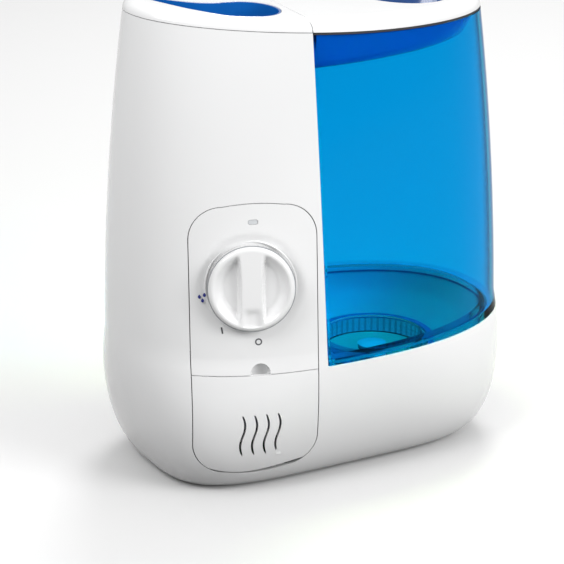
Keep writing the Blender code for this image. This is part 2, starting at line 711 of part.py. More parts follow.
def build_knob():
    face = knob_frame()
    low, high, reach = 2.4, KNOB_DEPTH, KNOB_RADIUS
    profile = [(SHAFT_RADIUS + 0.3, low), (reach, low), (reach, high - 3.5), (reach - 0.8, high - 1.4),
               (reach - 2.6, high - 0.5), (0, high), (0, high - 3.0), (SHAFT_RADIUS + 0.3, high - 3.0)]
    knob = named(turned(profile, place=face, segments=36), "knob", "white")
    for side in (-1, 1):
        scoop = turned([(0, -34.0), (10.0, -30.0), (14.0, 0.0), (10.0, 30.0), (0, 34.0)],
                       place=face @ at(side * 18.5, 0.0, high + 5.5) @ Matrix.Rotation(math.pi / 2, 4, "X"),
                       segments=20)
        cut(knob, scoop)
    shaft = named(turned([(0, -11.0), (SHAFT_RADIUS, -11.0), (SHAFT_RADIUS, high - 3.3), (0, high - 3.3)],
                         place=face, segments=14), "knob_shaft", "grey_plastic")
    for piece in (knob, shaft):
        set_origin(piece, KNOB_AT)


def build_door():
    frame = panel_frame()
    door = wall_piece(PANEL_FOOT - 5.0, PANEL_SPLIT - PANEL_SEAM / 2, DOOR_SEAM, "white", "front_door")
    axis = hinge_frame()
    cut(door, rod(HINGE_CLEAR, 60.0, axis, 32))
    for k in range(4):
        cut(door, wave_slot(frame @ at(SLOT_U + SLOT_PITCH * (k - 1.5), SLOT_Z)))
    for u in LUG_U:
        lug = axis @ at(0, 0, u)
        arm = prism([(-2.9, 0.0), (-0.6, 0.0), (-0.6, 14.0), (14.2, 14.0), (14.2, 17.5), (-2.9, 17.5)],
                    -1.5, 1.5, place=lug)
        add(door, add(arm, rod(2.9, 1.5, lug, 16)))
    cut(door, rod(HINGE_ROD + 0.15, 60.0, axis, 14))
    set_origin(door, axis.translation)
    named(rod(HINGE_ROD, LUG_U[1] + 9.0, axis, 14), "door_hinge_rod", "steel")
    for k, side in enumerate((-1, 1), 1):
        spot = axis @ at(0, 0, side * (LUG_U[1] + 4.6))
        profile = [(-9.0, -2.0), (0.3, -2.0), (1.5, -0.5), (1.5, 3.4), (-9.0, 3.4)]
        bracket = named(prism(profile, -2.3, 2.3, place=spot), f"door_hinge_bracket_{k}", "inner_white")
        cut(bracket, rod(HINGE_ROD + 0.1, 9.0, spot, 14))


def rod(radius, half_length, place, segments):
    return turned([(0, -half_length), (radius, -half_length), (radius, half_length), (0, half_length)],
                  place=place, segments=segments)


def wave_slot(place):
    """Cutter for one slot in the shape of a lazy S, 28 high and 2 wide."""
    steps, half_height, half_width, sway = 8, 14.0, 1.0, 1.5
    left, right = [], []
    for k in range(steps + 1):
        share = k / steps
        v = -half_height + 2 * half_height * share
        u = -sway * math.sin(math.tau * share)
        thick = half_width * (0.45 + 0.4 * math.sin(math.pi * share))
        left.append((u - thick, v))
        right.append((u + thick, v))
    return prism(left + right[::-1], 50.0, 130.0, place=place)


def build_scent_pad():
    frame = panel_frame()
    out = 78.0
    holder = named(block((-27.0, 36.0, out - 12.0), (27.0, 76.0, out - 4.0), place=frame), "scent_pad_holder",
                   "inner_white")
    cut(holder, block((-25.0, 38.0, out - 10.2), (25.0, 80.0, out), place=frame))
    named(block((-24.4, 38.6, out - 9.8), (24.4, 74.0, out - 6.2), place=frame), "scent_pad", "felt")


# ---- lids and mist outlet ----

def lid_form(rise, inset):
    """The domed top over the seam as a closed solid, set in and lowered for its inner side."""
    steps = ((0.45, 0.0), (3.6, 0.3), (6.0, 1.9), (7.6, 5.2), (LID_RISE, 12.0))
    rings = []
    for height, inward in steps:
        lift = above_seam(height - (rise if height > 1.0 else 1.5 * bool(rise)))
        rings.append(outline(SEAM_Z + height, inset + inward, lift))
    return loft(rings)


def build_tower_lid():
    lid = named(lid_form(0.0, 0.0), "tower_lid", "white")
    keep(lid, half_space(-160.0, BAY_X - 0.2))
    cut(lid, keep(lid_form(LID_WALL, LID_WALL), half_space(-160.0, BAY_X - 2.4)))
    return cut(lid, prism(teardrop(0.0), 270.0, 320.0))


def build_mist_outlet():
    """Blue dish that lifts out of the tower's lid; the mist leaves through the hole in its floor."""
    foot, rim = above_seam(-OUTLET_DEPTH - 2.0), above_seam(LID_RISE + 4.0)
    dish = named(prism(teardrop(GAP), foot, rim), "mist_outlet", "deep_blue")
    cap = lid_form(0.0, 0.0)
    cap.location.z = -0.4 * MM
    bpy.context.view_layer.update()
    skirt = loft([outline(SEAM_Z, 4.0, above_seam(-20.0)), outline(SEAM_Z, 4.0, above_seam(2.0))])
    skirt["finish"] = "white"
    keep(dish, add(skirt, cap))
    cut(dish, prism(teardrop(GAP + 1.8), above_seam(-OUTLET_DEPTH), above_seam(LID_RISE + 8.0)))
    x, y = MIST_AT
    cut(dish, turned([(0, 260.0), (OUTLET_RADIUS, 260.0), (OUTLET_RADIUS, 300.0), (0, 300.0)], place=at(x, y)))
    return set_origin(dish, (x, y, seam(x)))


# ---- tank ----

def oval(centre, half, count=32):
    return [(centre[0] + half[0] * math.cos(math.tau * k / count),
             centre[1] + half[1] * math.sin(math.tau * k / count)) for k in range(count)]


def build_tank():
    shell = named(keep(body_loft(0.0, TANK_SEAT, 310.0), half_space(TANK_X, 160.0)), "tank_shell", "tank_blue")
    cut(shell, over_seam(-1.3))
    skirt_levels = ((TANK_FLOOR, 13.0), (62.0, 10.0), (66.0, SKIRT_IN + 0.6), (70.0, SKIRT_IN),
                    (TANK_SEAT + 1.0, SKIRT_IN))
    skirt = loft([outline(z, inset) for z, inset in skirt_levels])
    add(shell, keep(skirt, half_space(TANK_X + 6.6, 160.0)))
    add(shell, turned([(0, CAP_FOOT + 4.0), (NECK_RADIUS, CAP_FOOT + 4.0), (NECK_RADIUS, TANK_FLOOR + 1.0),
                       (0, TANK_FLOOR + 1.0)], place=at(*TANK_AT), segments=32))
    upper = keep(body_loft(TANK_WALL, TANK_SEAT + 3.0, 330.0), half_space(TANK_X + TANK_WALL, 160.0))
    inner_levels = ((TANK_FLOOR + 2.5, 15.0), (65.0, 12.0), (69.0, SKIRT_IN + 2.6), (TANK_SEAT + 4.0, SKIRT_IN + 2.6))
    lower = keep(loft([outline(z, inset) for z, inset in inner_levels]),
                 half_space(TANK_X + 9.2, 160.0))
    neck = turned([(0, 40.0), (NECK_RADIUS - 2.6, 40.0), (NECK_RADIUS - 2.6, TANK_FLOOR + 4.0),
                   (0, TANK_FLOOR + 4.0)], place=at(*TANK_AT), segments=32)
    cut(shell, upper, lower, neck)
    build_grip_well()
    build_tank_lid()


def build_grip_well():
    levels = ((WELL_Z, 15.5), (WELL_Z + 1.5, 12.5), (WELL_Z + 6.0, 9.5))
    inner = ((WELL_Z + 2.2, 17.0), (WELL_Z + 3.4, 14.8), (WELL_Z + 7.4, 11.7))
    top = [outline(SEAM_Z, 3.2, above_seam(-1.3)), outline(SEAM_Z, 5.4, above_seam(4.0))]
    well = named(loft([outline(z, inset) for z, inset in levels] + top[:1]), "grip_well", "deep_blue")
    keep(well, half_space(TANK_X + TANK_WALL + 0.4, 160.0))
    hollow = loft([outline(z, inset) for z, inset in inner] + top[1:])
    return cut(well, keep(hollow, half_space(TANK_X + TANK_WALL + 2.6, 160.0)))


def build_tank_lid():
    lid = named(lid_form(0.0, 0.0), "tank_lid", "white")
    keep(lid, half_space(BAY_X + 0.5, 160.0))
    cut(lid, keep(lid_form(LID_WALL, LID_WALL), half_space(BAY_X + 2.7, 160.0)))
    cut(lid, prism(oval(OPENING_AT, OPENING_HALF), 250.0, 330.0))
    seal = named(loft([outline(SEAM_Z, 0.5, above_seam(-1.0)), outline(SEAM_Z, 0.5, above_seam(0.15))]),
                 "lid_gasket", "black_rubber")
    keep(seal, half_space(TANK_X + 0.4, 160.0))
    hole = loft([outline(SEAM_Z, 2.9, above_seam(-5.0)), outline(SEAM_Z, 2.9, above_seam(5.0))])
    return cut(seal, keep(hole, half_space(TANK_X + 2.8, 160.0)))


def build_cap():
    place = at(*TANK_AT)
    foot, top = CAP_FOOT, TANK_FLOOR - 1.5
    inner = NECK_RADIUS + 1.0
    cap = named(turned([(0, foot), (CAP_RADIUS - 1.2, foot), (CAP_RADIUS, foot + 1.2), (CAP_RADIUS, top),
                        (inner, top), (inner, foot + 2.5), (0, foot + 2.5)], place=place, segments=40),
                "tank_cap", "tank_blue")
    cut(cap, turned([(0, foot - 3.0), (2.9, foot - 3.0), (2.9, foot + 6.0), (0, foot + 6.0)], place=place,
                    segments=12))
    for k in range(6):
        angle = math.tau * k / 6
        spot = place @ at(6.0 * math.cos(angle), 6.0 * math.sin(angle))
        cut(cap, turned([(0, foot - 3.0), (1.8, foot - 3.0), (1.8, foot + 6.0), (0, foot + 6.0)], place=spot,
                        segments=8))
    seal = named(turned([(inner + 0.2, top + 0.3), (CAP_RADIUS - 0.6, top + 0.3), (CAP_RADIUS - 0.6, top + 1.2),
                         (inner + 0.2, top + 1.2)], place=place, segments=32), "cap_gasket", "black_rubber")
    for piece in (cap, seal):
        set_origin(piece, (*TANK_AT, foot))
    seat = foot + 2.5
    head = seat + VALVE_LIFT + 1.6
    plunger = named(turned([(0, foot - 5.5), (5.6, foot - 5.5), (5.6, foot - 4.2), (2.3, foot - 4.2),
                            (2.3, head), (9.5, head), (9.5, head + 1.8), (0, head + 3.2)], place=place,
                           segments=20), "valve_plunger", "inner_white")
    washer = named(turned([(2.8, head - 1.3), (9.2, head - 1.3), (9.2, head - 0.3), (2.8, head - 0.3)],
                          place=place, segments=20), "valve_washer", "black_rubber")
    for piece in (plunger, washer):
        set_origin(piece, (*TANK_AT, foot))
    build_spring(place, foot - 3.6, foot - 0.5)


def build_spring(place, low, high):
    """Closing spring of the valve, as a round wire bent along a helix."""
    turns, radius, wire, per_turn, sides = 2.0, 4.3, 0.35, 12, 6
    rings = []
    steps = int(turns * per_turn)
    for k in range(steps + 1):
        angle = math.tau * k / per_turn
        height = low + wire + (high - low - 2 * wire) * k / steps
        middle = Vector((radius * math.cos(angle), radius * math.sin(angle), height))
        out = Vector((math.cos(angle), math.sin(angle), 0.0))
        up = Vector((0.0, 0.0, 1.0))
        rings.append([tuple(middle + wire * (math.cos(math.tau * s / sides) * out + math.sin(math.tau * s / sides) * up))
                      for s in range(sides)])
    return named(loft(rings, place=place), "valve_spring", "steel")


def main():
    for old in list(bpy.data.objects):
        bpy.data.objects.remove(old)
    build_housing()
    build_bottom()
    build_tray()
    build_basin_gasket()
    build_nebuliser()
    build_boards()
    build_chimney()
    build_fan()
    build_inlet()
    build_float()
    build_panel()
    build_knob()
    build_door()
    build_scent_pad()
    build_tower_lid()
    build_mist_outlet()
    build_tank()
    build_cap()


main()
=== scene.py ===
"""Cool mist humidifier: the visible pieces, their finishes and the studio round the packed model.

Lengths inside the functions are in millimetres and turned into metres where a mesh is made.
"""

import math

import bmesh
import bpy
from mathutils import Matrix, Vector


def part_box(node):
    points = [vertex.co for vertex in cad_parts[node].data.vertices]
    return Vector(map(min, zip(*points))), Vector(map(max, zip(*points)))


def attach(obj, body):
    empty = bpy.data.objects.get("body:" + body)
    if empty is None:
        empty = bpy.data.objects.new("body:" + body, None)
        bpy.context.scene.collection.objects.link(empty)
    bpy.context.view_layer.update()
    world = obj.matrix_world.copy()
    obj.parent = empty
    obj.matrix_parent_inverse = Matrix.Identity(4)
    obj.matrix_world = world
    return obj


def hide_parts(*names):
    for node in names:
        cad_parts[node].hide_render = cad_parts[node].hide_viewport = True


bl_info = {
    "name": "Cool mist humidifier",
    "version": (1, 0, 0),
    "blender": (4, 5, 0),
    "location": "3D View > Sidebar > Humidifier",
    "description": "Builds the humidifier's visible pieces on its packed model",
    "category": "Object",
}

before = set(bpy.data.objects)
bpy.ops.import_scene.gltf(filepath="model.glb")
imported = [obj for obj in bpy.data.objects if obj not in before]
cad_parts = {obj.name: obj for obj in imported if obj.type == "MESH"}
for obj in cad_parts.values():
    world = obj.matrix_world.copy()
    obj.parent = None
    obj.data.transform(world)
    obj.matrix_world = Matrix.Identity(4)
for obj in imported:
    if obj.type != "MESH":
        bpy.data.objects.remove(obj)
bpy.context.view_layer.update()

MM = 0.001
AROUND = 192                 # points round a section of the body
FINE_AROUND = 480            # round the panel, which carries the knob's dish
SHARP_DEG = 32.0
ON_FORM = 0.006              # how near a point is to the outer form to take its normal
ALIGNED = 0.93               # least agreement between a face and the form's normal
WELD = 2e-6                  # metres within which points are made one
DISH_FLAT, DISH_EDGE = 26.5, 34.0    # radii between which the panel dips towards the knob
LIGHT_AT, NOTCH_RISE = (-0.3, 178.0), 0.9
OFF_AT, ON_AT, MIST_MARK_AT = (-70.6, 103.6), (-90.6, 111.4), (-100.2, 131.8)
FLOOR_SEEN, FLOOR_BOUNCE = (0.77, 0.77, 0.77), (0.07, 0.07, 0.07)
CAMERA_AT = (-0.74363, -1.33389, 0.66976)
CAMERA_RIGHT, CAMERA_UP = (0.8777, -0.4792, 0.0), (0.1658, 0.3037, 0.9382)

# Body outline, as the packed model has it
BELLY_Z, HALF_WIDTH, WIDTH_TAPER, TAPER_SPAN = 100.0, 133.0, 11.8, 186.0
DEPTH_Z, HALF_DEPTH, DEPTH_SLOPE, DEPTH_BOW = 57.0, 86.9, 0.0974, 0.9
FILLET, FILLET_IN_X, FILLET_IN_Y = 92.0, 28.2, 44.8
SHELL_FOOT = 2.5
SEAM_Z, SEAM_SLOPE, SEAM_SAG = 286.0, -0.0767, 0.000174
WALL, RIM_Z, RIM_WIDTH, DECK, BAY_X = 2.6, 83.0, 6.0, 2.8, -28.6
PANEL_TURN = math.radians(19.0)
PANEL_CENTRE = (-73.5, -74.5)
PANEL_HALF, PANEL_TOP, PANEL_FOOT, PANEL_CORNER, PANEL_CROWN = 39.4, 188.0, 17.2, 21.0, 1.6
PANEL_SPLIT, NOTCH_U = 83.0, 2.6
SLOT_U, SLOT_Z, SLOT_PITCH = 2.0, 44.0, 7.4
HINGE_TURN = math.radians(15.0)
HINGE_Z, HINGE_OUT, HINGE_CLEAR, LUG_U = 14.6, 74.2, 10.4, (-14.0, 14.0)
KNOB_AT = (-73.4, -67.3, 138.4)
KNOB_TURN, KNOB_TILT = math.radians(24.0), math.radians(5.5)
MIST_AT, OUTLET_DEPTH = (-52.5, -22.0), 9.0
TANK_AT, TANK_X, TANK_WALL, TANK_SEAT, TANK_FLOOR, SKIRT_IN = (52.0, 0.0), -27.9, 2.6, 83.5, 60.0, 7.6
NECK_RADIUS, CAP_RADIUS, CAP_FOOT, WELL_Z = 35.0, 41.0, 46.0, 263.0
OPENING_AT, OPENING_HALF = (65.0, -2.5), (33.0, 33.5)
LID_RISE, LID_WALL = 8.4, 2.3
TRAY_FLOOR, TRAY_WALL, CHANNEL_HALF, CHANNEL_TOP = 30.0, 2.2, 10.0, 56.0
CHAMBER_RADIUS, CHAMBER_TOP = 18.0, 96.0
FAN_AT, GRILLE_SIDE = (-76.0, 44.0, 112.0), 46.0
INLET_AT = (-60.0, 40.0)


# ---- settings a user would change ----

class HumidifierSizes(bpy.types.PropertyGroup):
    panel_gap: bpy.props.FloatProperty(
        name="Panel gap", description="Gap round the front panel and the door", default=0.00055, unit="LENGTH")
    knob_radius: bpy.props.FloatProperty(
        name="Knob radius", description="Radius of the rotary knob", default=0.0264, unit="LENGTH")
    knob_scoop: bpy.props.FloatProperty(
        name="Knob scoop", description="Depth of the two finger scoops", default=0.0062, unit="LENGTH")
    dish_depth: bpy.props.FloatProperty(
        name="Dish depth", description="How far the panel dips towards the knob", default=0.0021, unit="LENGTH")
    outlet_radius: bpy.props.FloatProperty(
        name="Mist hole radius", description="Radius of the hole the mist leaves by", default=0.0105, unit="LENGTH")
    slats: bpy.props.IntProperty(
        name="Intake slats", description="Number of slats in the air intake", default=9, min=2)
    blades: bpy.props.IntProperty(
        name="Fan blades", description="Number of blades on the fan wheel", default=7, min=2)
    cap_ribs: bpy.props.IntProperty(
        name="Cap ribs", description="Number of grip ribs round the tank cap", default=60, min=3)


class HumidifierColours(bpy.types.PropertyGroup):
    shell: bpy.props.FloatVectorProperty(
        name="Shell", description="Glossy white of the outer shells", subtype="COLOR", size=3,
        default=(0.835, 0.837, 0.84))
    tank: bpy.props.FloatVectorProperty(
        name="Tank", description="Light that one wall of the tank lets through", subtype="COLOR", size=3,
        default=(0.0, 0.535, 0.83))
    tank_edge: bpy.props.FloatVectorProperty(
        name="Tank edge", description="The same where the wall is seen along its surface", subtype="COLOR",
        size=3, default=(0.0, 0.03, 0.14))
    deep: bpy.props.FloatVectorProperty(
        name="Deep blue", description="Blue of the mist outlet and the grip well", subtype="COLOR", size=3,
        default=(0.006, 0.115, 0.42))
    mark: bpy.props.FloatVectorProperty(
        name="Marks", description="Navy of the dial marks", subtype="COLOR", size=3, default=(0.012, 0.02, 0.2))


class HumidifierStudio(bpy.types.PropertyGroup):
    sky: bpy.props.FloatProperty(
        name="Sky", description="Strength of the even white surround", default=0.6, min=0.0)
    key: bpy.props.FloatProperty(
        name="Key light", description="Power of the large soft light", default=30.0, min=0.0, unit="POWER")
    strip: bpy.props.FloatProperty(
        name="Strip light", description="Power of the narrow light on the left", default=2.4, min=0.0, unit="POWER")
    side: bpy.props.FloatProperty(
        name="Side light", description="Power of the light over the left side", default=2.2, min=0.0, unit="POWER")
    back: bpy.props.FloatProperty(
        name="Back light", description="Power of the high light from behind", default=14.0, min=0.0, unit="POWER")
    fill: bpy.props.FloatProperty(
        name="Tank fill", description="Power of the fill light inside the tank", default=0.85, min=0.0, unit="POWER")
    lens: bpy.props.FloatProperty(
        name="Lens", description="Focal length in millimetres", default=162.1, min=1.0)


def sizes():
    return bpy.context.scene.humidifier_sizes


def colours():
    return bpy.context.scene.humidifier_colours


def studio():
    return bpy.context.scene.humidifier_studio


# ---- finishes ----

def new_finish(name, colour, roughness, metallic=0.0, **sockets):
    """A Principled material with its even values on the shader's own sockets."""
    made = bpy.data.materials.new(name)
    made.use_nodes = True
    nodes = made.node_tree.nodes
    shader = nodes["Principled BSDF"]
    shader.inputs["Base Color"].default_value = (*colour[:3], 1.0)
    shader.inputs["Roughness"].default_value = roughness
    shader.inputs["Metallic"].default_value = metallic
    for socket, value in sockets.items():
        shader.inputs[socket.replace("_", " ")].default_value = value
    made.diffuse_color = (*colour[:3], 1.0)
    return made, made.node_tree, shader


def placed(tree, kind, **links):
    """A node with its inputs linked or set. Underscores stand for spaces, and plain kinds are geometry nodes."""
    made = tree.nodes.new(kind if kind.startswith(("Shader", "Function")) else "GeometryNode" + kind)
    for label, value in links.items():
        joint(tree, value, made.inputs[label.replace("_", " ")])
    return made


def joint(tree, value, socket):
    """Links or sets one input."""
    if isinstance(value, bpy.types.NodeSocket):
        tree.links.new(value, socket)
    else:
        socket.default_value = value


def noise(tree, scale, detail=3.0, stretch=None):
    """Noise on Object coordinates. Scale is in features for each metre."""
    source = placed(tree, "ShaderNodeTexCoord").outputs["Object"]
    if stretch:
        source = placed(tree, "ShaderNodeMapping", Scale=stretch, Vector=source).outputs["Vector"]
    return placed(tree, "ShaderNodeTexNoise", Scale=scale, Detail=detail, Vector=source).outputs["Fac"]


def between(tree, source, low, high):
    """A value from noise, spread between two limits."""
    return placed(tree, "ShaderNodeMapRange", From_Min=0.3, From_Max=0.7, To_Min=low, To_Max=high,
                  Value=source).outputs["Result"]


def blend_colours(tree, source, first, second):
    made = placed(tree, "ShaderNodeMix")
    made.data_type = "RGBA"
    made.inputs[6].default_value = (*first[:3], 1.0)
    made.inputs[7].default_value = (*second[:3], 1.0)
    tree.links.new(source, made.inputs[0])
    return made.outputs[2]


def bumped(tree, shader, source, distance, strength=1.0):
    made = placed(tree, "ShaderNodeBump", Strength=strength, Distance=distance, Height=source)
    tree.links.new(made.outputs["Normal"], shader.inputs["Normal"])


def plastic(name, colour, roughness, spread, grain, grain_depth, wear=0.03, **sockets):
    """Moulded plastic: a fine grain, uneven gloss and a very faint change of colour."""
    made, tree, shader = new_finish(name, colour, roughness, **sockets)
    tree.links.new(between(tree, noise(tree, 60.0), roughness - spread, roughness + spread),
                   shader.inputs["Roughness"])
    darker = [channel * (1 - wear) for channel in colour[:3]]
    tree.links.new(blend_colours(tree, between(tree, noise(tree, 14.0), 0.0, 1.0), colour, darker),
                   shader.inputs["Base Color"])
    bumped(tree, shader, noise(tree, grain, 2.0), grain_depth)
    return made


def metal(name, colour, roughness, stretch=(1.0, 1.0, 12.0)):
    """Bare metal with fine drawn lines."""
    made, tree, shader = new_finish(name, colour, roughness, 1.0)
    lines = noise(tree, 900.0, 2.0, stretch)
    tree.links.new(between(tree, lines, roughness - 0.08, roughness + 0.1), shader.inputs["Roughness"])
    tree.links.new(blend_colours(tree, noise(tree, 120.0), colour, [c * 0.86 for c in colour]),
                   shader.inputs["Base Color"])
    bumped(tree, shader, lines, 0.00002, 0.5)
    return made


def clear_blue(name, face, edge, roughness):
    """Tinted clear plastic. Lamps shine through it, and it deepens where it is seen along its wall."""
    made, tree, shader = new_finish(name, face, roughness, IOR=1.09, Transmission_Weight=1.0)
    rim = placed(tree, "ShaderNodeLayerWeight", Blend=0.5)
    curve = placed(tree, "ShaderNodeMapRange", From_Min=0.58, From_Max=0.86, Value=rim.outputs["Facing"])
    curve.interpolation_type = "SMOOTHSTEP"
    tree.links.new(blend_colours(tree, curve.outputs["Result"], face, edge), shader.inputs["Base Color"])
    bumped(tree, shader, noise(tree, 22.0, 1.0), 0.00025, 0.35)
    lit = placed(tree, "ShaderNodeBsdfTransparent", Color=(0.82, 0.94, 0.97, 1.0))
    path = placed(tree, "ShaderNodeLightPath")
    mix = placed(tree, "ShaderNodeMixShader", Fac=path.outputs["Is Shadow Ray"])
    tree.links.new(shader.outputs["BSDF"], mix.inputs[1])
    tree.links.new(lit.outputs["BSDF"], mix.inputs[2])
    tree.links.new(mix.outputs["Shader"], tree.nodes["Material Output"].inputs["Surface"])
    return made


def board_finish():
    """Lacquered circuit board with copper runs under the lacquer."""
    made, tree, shader = new_finish("board_green", (0.02, 0.16, 0.07), 0.32, Coat_Weight=0.6)
    where = placed(tree, "ShaderNodeTexCoord")
    runs = placed(tree, "ShaderNodeTexBrick", Scale=130.0, Mortar_Size=0.035, Color1=(0.015, 0.13, 0.055, 1.0),
                  Color2=(0.02, 0.17, 0.07, 1.0), Mortar=(0.12, 0.3, 0.1, 1.0), Vector=where.outputs["Object"])
    tree.links.new(runs.outputs["Color"], shader.inputs["Base Color"])
    bumped(tree, shader, runs.outputs["Fac"], 0.00003, 0.6)
    return made


def felt_finish():
    """Pressed fibre pad."""
    made, tree, shader = new_finish("felt", (0.8, 0.86, 0.92), 0.95, Sheen_Weight=0.5, Sheen_Roughness=0.6)
    fibres = noise(tree, 2600.0, 6.0, (1.0, 0.35, 1.0))
    tree.links.new(blend_colours(tree, fibres, (0.86, 0.9, 0.94), (0.62, 0.72, 0.82)), shader.inputs["Base Color"])
    bumped(tree, shader, fibres, 0.0004)
    return made


FINISH = {}


def make_finishes():
    tint = colours()
    for made in (
        plastic("white_gloss", tint.shell, 0.17, 0.025, 420.0, 0.000012, 0.012,
                Coat_Weight=0.35, Coat_Roughness=0.06),
        plastic("inner_white", (0.74, 0.75, 0.76), 0.42, 0.05, 1500.0, 0.00003, 0.04),
        clear_blue("tank_blue", tint.tank, tint.tank_edge, 0.03),
        clear_blue("cap_blue", (0.1, 0.72, 0.8), (0.02, 0.3, 0.42), 0.12),
        plastic("deep_blue", tint.deep, 0.14, 0.03, 420.0, 0.00002, 0.06, Coat_Weight=0.5,
                Coat_Roughness=0.05),
        plastic("black_rubber", (0.022, 0.022, 0.024), 0.72, 0.08, 1800.0, 0.00008, 0.3),
        plastic("grey_plastic", (0.33, 0.34, 0.36), 0.46, 0.06, 1500.0, 0.00004, 0.08),
        metal("steel", (0.6, 0.61, 0.62), 0.3),
        metal("aluminium", (0.74, 0.75, 0.77), 0.36, (14.0, 1.0, 1.0)),
        metal("brass", (0.74, 0.56, 0.26), 0.28, (1.0, 1.0, 1.0)),
        board_finish(),
        felt_finish(),
        plastic("smoke_lens", (0.62, 0.64, 0.66), 0.12, 0.03, 300.0, 0.00001, 0.04,
                Coat_Weight=0.8, Coat_Roughness=0.03),
        plastic("mark_grey", (0.09, 0.09, 0.1), 0.45, 0.05, 900.0, 0.00001, 0.1),
        plastic("seal_blue", (0.01, 0.2, 0.36), 0.5, 0.06, 900.0, 0.00003, 0.1),
        plastic("mark_navy", tint.mark, 0.4, 0.05, 900.0, 0.00001, 0.1),
    ):
        FINISH[made.name.split(".")[0]] = made


# ---- mesh building ----

def linked(name, data):
    """A new object in the scene."""
    made = bpy.data.objects.new(name, data)
    bpy.context.scene.collection.objects.link(made)
    return made


def solid(points, faces, place=None):
    """A mesh object from points in millimetres, with its faces turned outwards."""
    move = place or Matrix.Identity(4)
    mesh = bpy.data.meshes.new("solid")
    mesh.from_pydata([(move @ Vector(p)) * MM for p in points], [], faces)
    work = bmesh.new()
    work.from_mesh(mesh)
    bmesh.ops.recalc_face_normals(work, faces=work.faces)
    work.to_mesh(mesh)
    work.free()
    return linked("solid", mesh)


def joined(body, other, operation):
    """Body with one more solid added, cut away or kept in common. The other solid is used up."""
    step = body.modifiers.new(operation, "BOOLEAN")
    step.operation = operation
    step.object = other
    step.solver = "MANIFOLD"
    graph = bpy.context.evaluated_depsgraph_get()
    mesh = bpy.data.meshes.new_from_object(body.evaluated_get(graph))
    if not mesh.polygons:
        raise RuntimeError(f"a boolean left nothing of {body.name}")
    body.modifiers.clear()
    old = body.data
    body.data = mesh
    bpy.data.meshes.remove(old)
    bpy.data.objects.remove(other)
    return body


def cut(body, *others):
    for other in others:
        joined(body, other, "DIFFERENCE")
    return body


def add(body, *others):
    for other in others:
        joined(body, other, "UNION")
    return body


def keep(body, other):
    return joined(body, other, "INTERSECT")


def loft(rings, place=None, fan=True, looped=False):
    """A solid through closed rings of equal counts. looped joins the last ring to the first."""
    count = len(rings[0])
    points = [p for ring in rings for p in ring]
    faces = []
    for k in range(len(rings) if looped else len(rings) - 1):
        low, high = k * count, (k + 1) % len(rings) * count
        for i in range(count):
            j = (i + 1) % count
            faces.append((low + i, low + j, high + j, high + i))
    for k in () if looped else (0, len(rings) - 1):
        if not fan:
            faces.append(tuple(range(k * count, (k + 1) * count)))
            continue
        points.append(tuple(sum((Vector(p) for p in rings[k]), Vector()) / count))
        hub = len(points) - 1
        faces += [(k * count + i, k * count + (i + 1) % count, hub) for i in range(count)]
    return solid(points, faces, place)


def turned(profile, place=None, segments=72):
    """A turned solid from (radius, height) points. Ends off the axis are joined to each other."""
    points, rows = [], []
    for radius, height in profile:
        if radius == 0:
            points.append((0.0, 0.0, height))
            rows.append([len(points) - 1] * segments)
            continue
        rows.append(list(range(len(points), len(points) + segments)))
        for i in range(segments):
            points.append((*polar(radius, math.tau * i / segments), height))
    if profile[0][0] > 0 and profile[-1][0] > 0:
        rows.append(rows[0])
    faces = []
    for low, high in zip(rows, rows[1:]):
        for i in range(segments):
            j = (i + 1) % segments
            corners = list(dict.fromkeys((low[i], low[j], high[j], high[i])))
            if len(corners) > 2:
                faces.append(corners)
    return solid(points, faces, place)


def cylinder(radius, low, high, place=None, segments=48):
    return turned([(0, low), (radius, low), (radius, high), (0, high)], place, segments)


def block(low, high, place=None):
    corners = [(x, y, z) for z in (low[2], high[2]) for y in (low[1], high[1]) for x in (low[0], high[0])]
    faces = [(0, 1, 3, 2), (4, 5, 7, 6), (0, 1, 5, 4), (2, 3, 7, 6), (0, 2, 6, 4), (1, 3, 7, 5)]
    return solid(corners, faces, place)


def prism(shape, low, high, place=None):
    """An outline in x and y raised from low to high. Each may be a height or a function of x."""
    rings = [[(x, y, end(x) if callable(end) else end) for x, y in shape] for end in (low, high)]
    return loft(rings, place, fan=False)


def polar(radius, angle, x=0.0, y=0.0):
    return x + radius * math.cos(angle), y + radius * math.sin(angle)


def at(x, y, z=0.0):
    return Matrix.Translation((x, y, z))


def along(origin, direction, up=(0.0, 0.0, 1.0)):
    """A frame whose Z runs along the direction and whose Y leans towards up."""
    z = Vector(direction).normalized()
    x = Vector(up).cross(z).normalized()
    made = Matrix((x, z.cross(x), z)).transposed().to_4x4()
    made.translation = Vector(origin)
    return made


def smooth_step(low, high, value):
    share = min(max((value - low) / (high - low), 0.0), 1.0)
    return share * share * (3 - 2 * share)


# ---- the outer form ----

def section(z):
    """Half width, half depth and the two roundness exponents of the outer surface at a height."""
    z = max(z, SHELL_FOOT)
    half_x = HALF_WIDTH - WIDTH_TAPER * ((z - BELLY_Z) / TAPER_SPAN) ** 2
    share = (z - DEPTH_Z) / (SEAM_Z - DEPTH_Z)
    half_y = HALF_DEPTH - DEPTH_SLOPE * (z - DEPTH_Z) + 4 * DEPTH_BOW * share * (1 - share)
    up = z / SEAM_Z
    round_x, round_y = 2.1 - 0.2 * up, 2.28 - 0.2 * up
    if z < FILLET:
        low = (FILLET - z) / FILLET
        inward = 1 - math.sqrt(1 - low * low)
        half_x -= FILLET_IN_X * inward
        half_y -= FILLET_IN_Y * inward
        round_x += (4.5 - round_x) * low
        round_y += (3.0 - round_y) * low
    return half_x, half_y, round_x, round_y


def form_value(x, y, z):
    """0 on the outer form and less inside it."""
    half_x, half_y, round_x, round_y = section(z)
    return abs(x / half_x) ** round_x + abs(y / half_y) ** round_y - 1


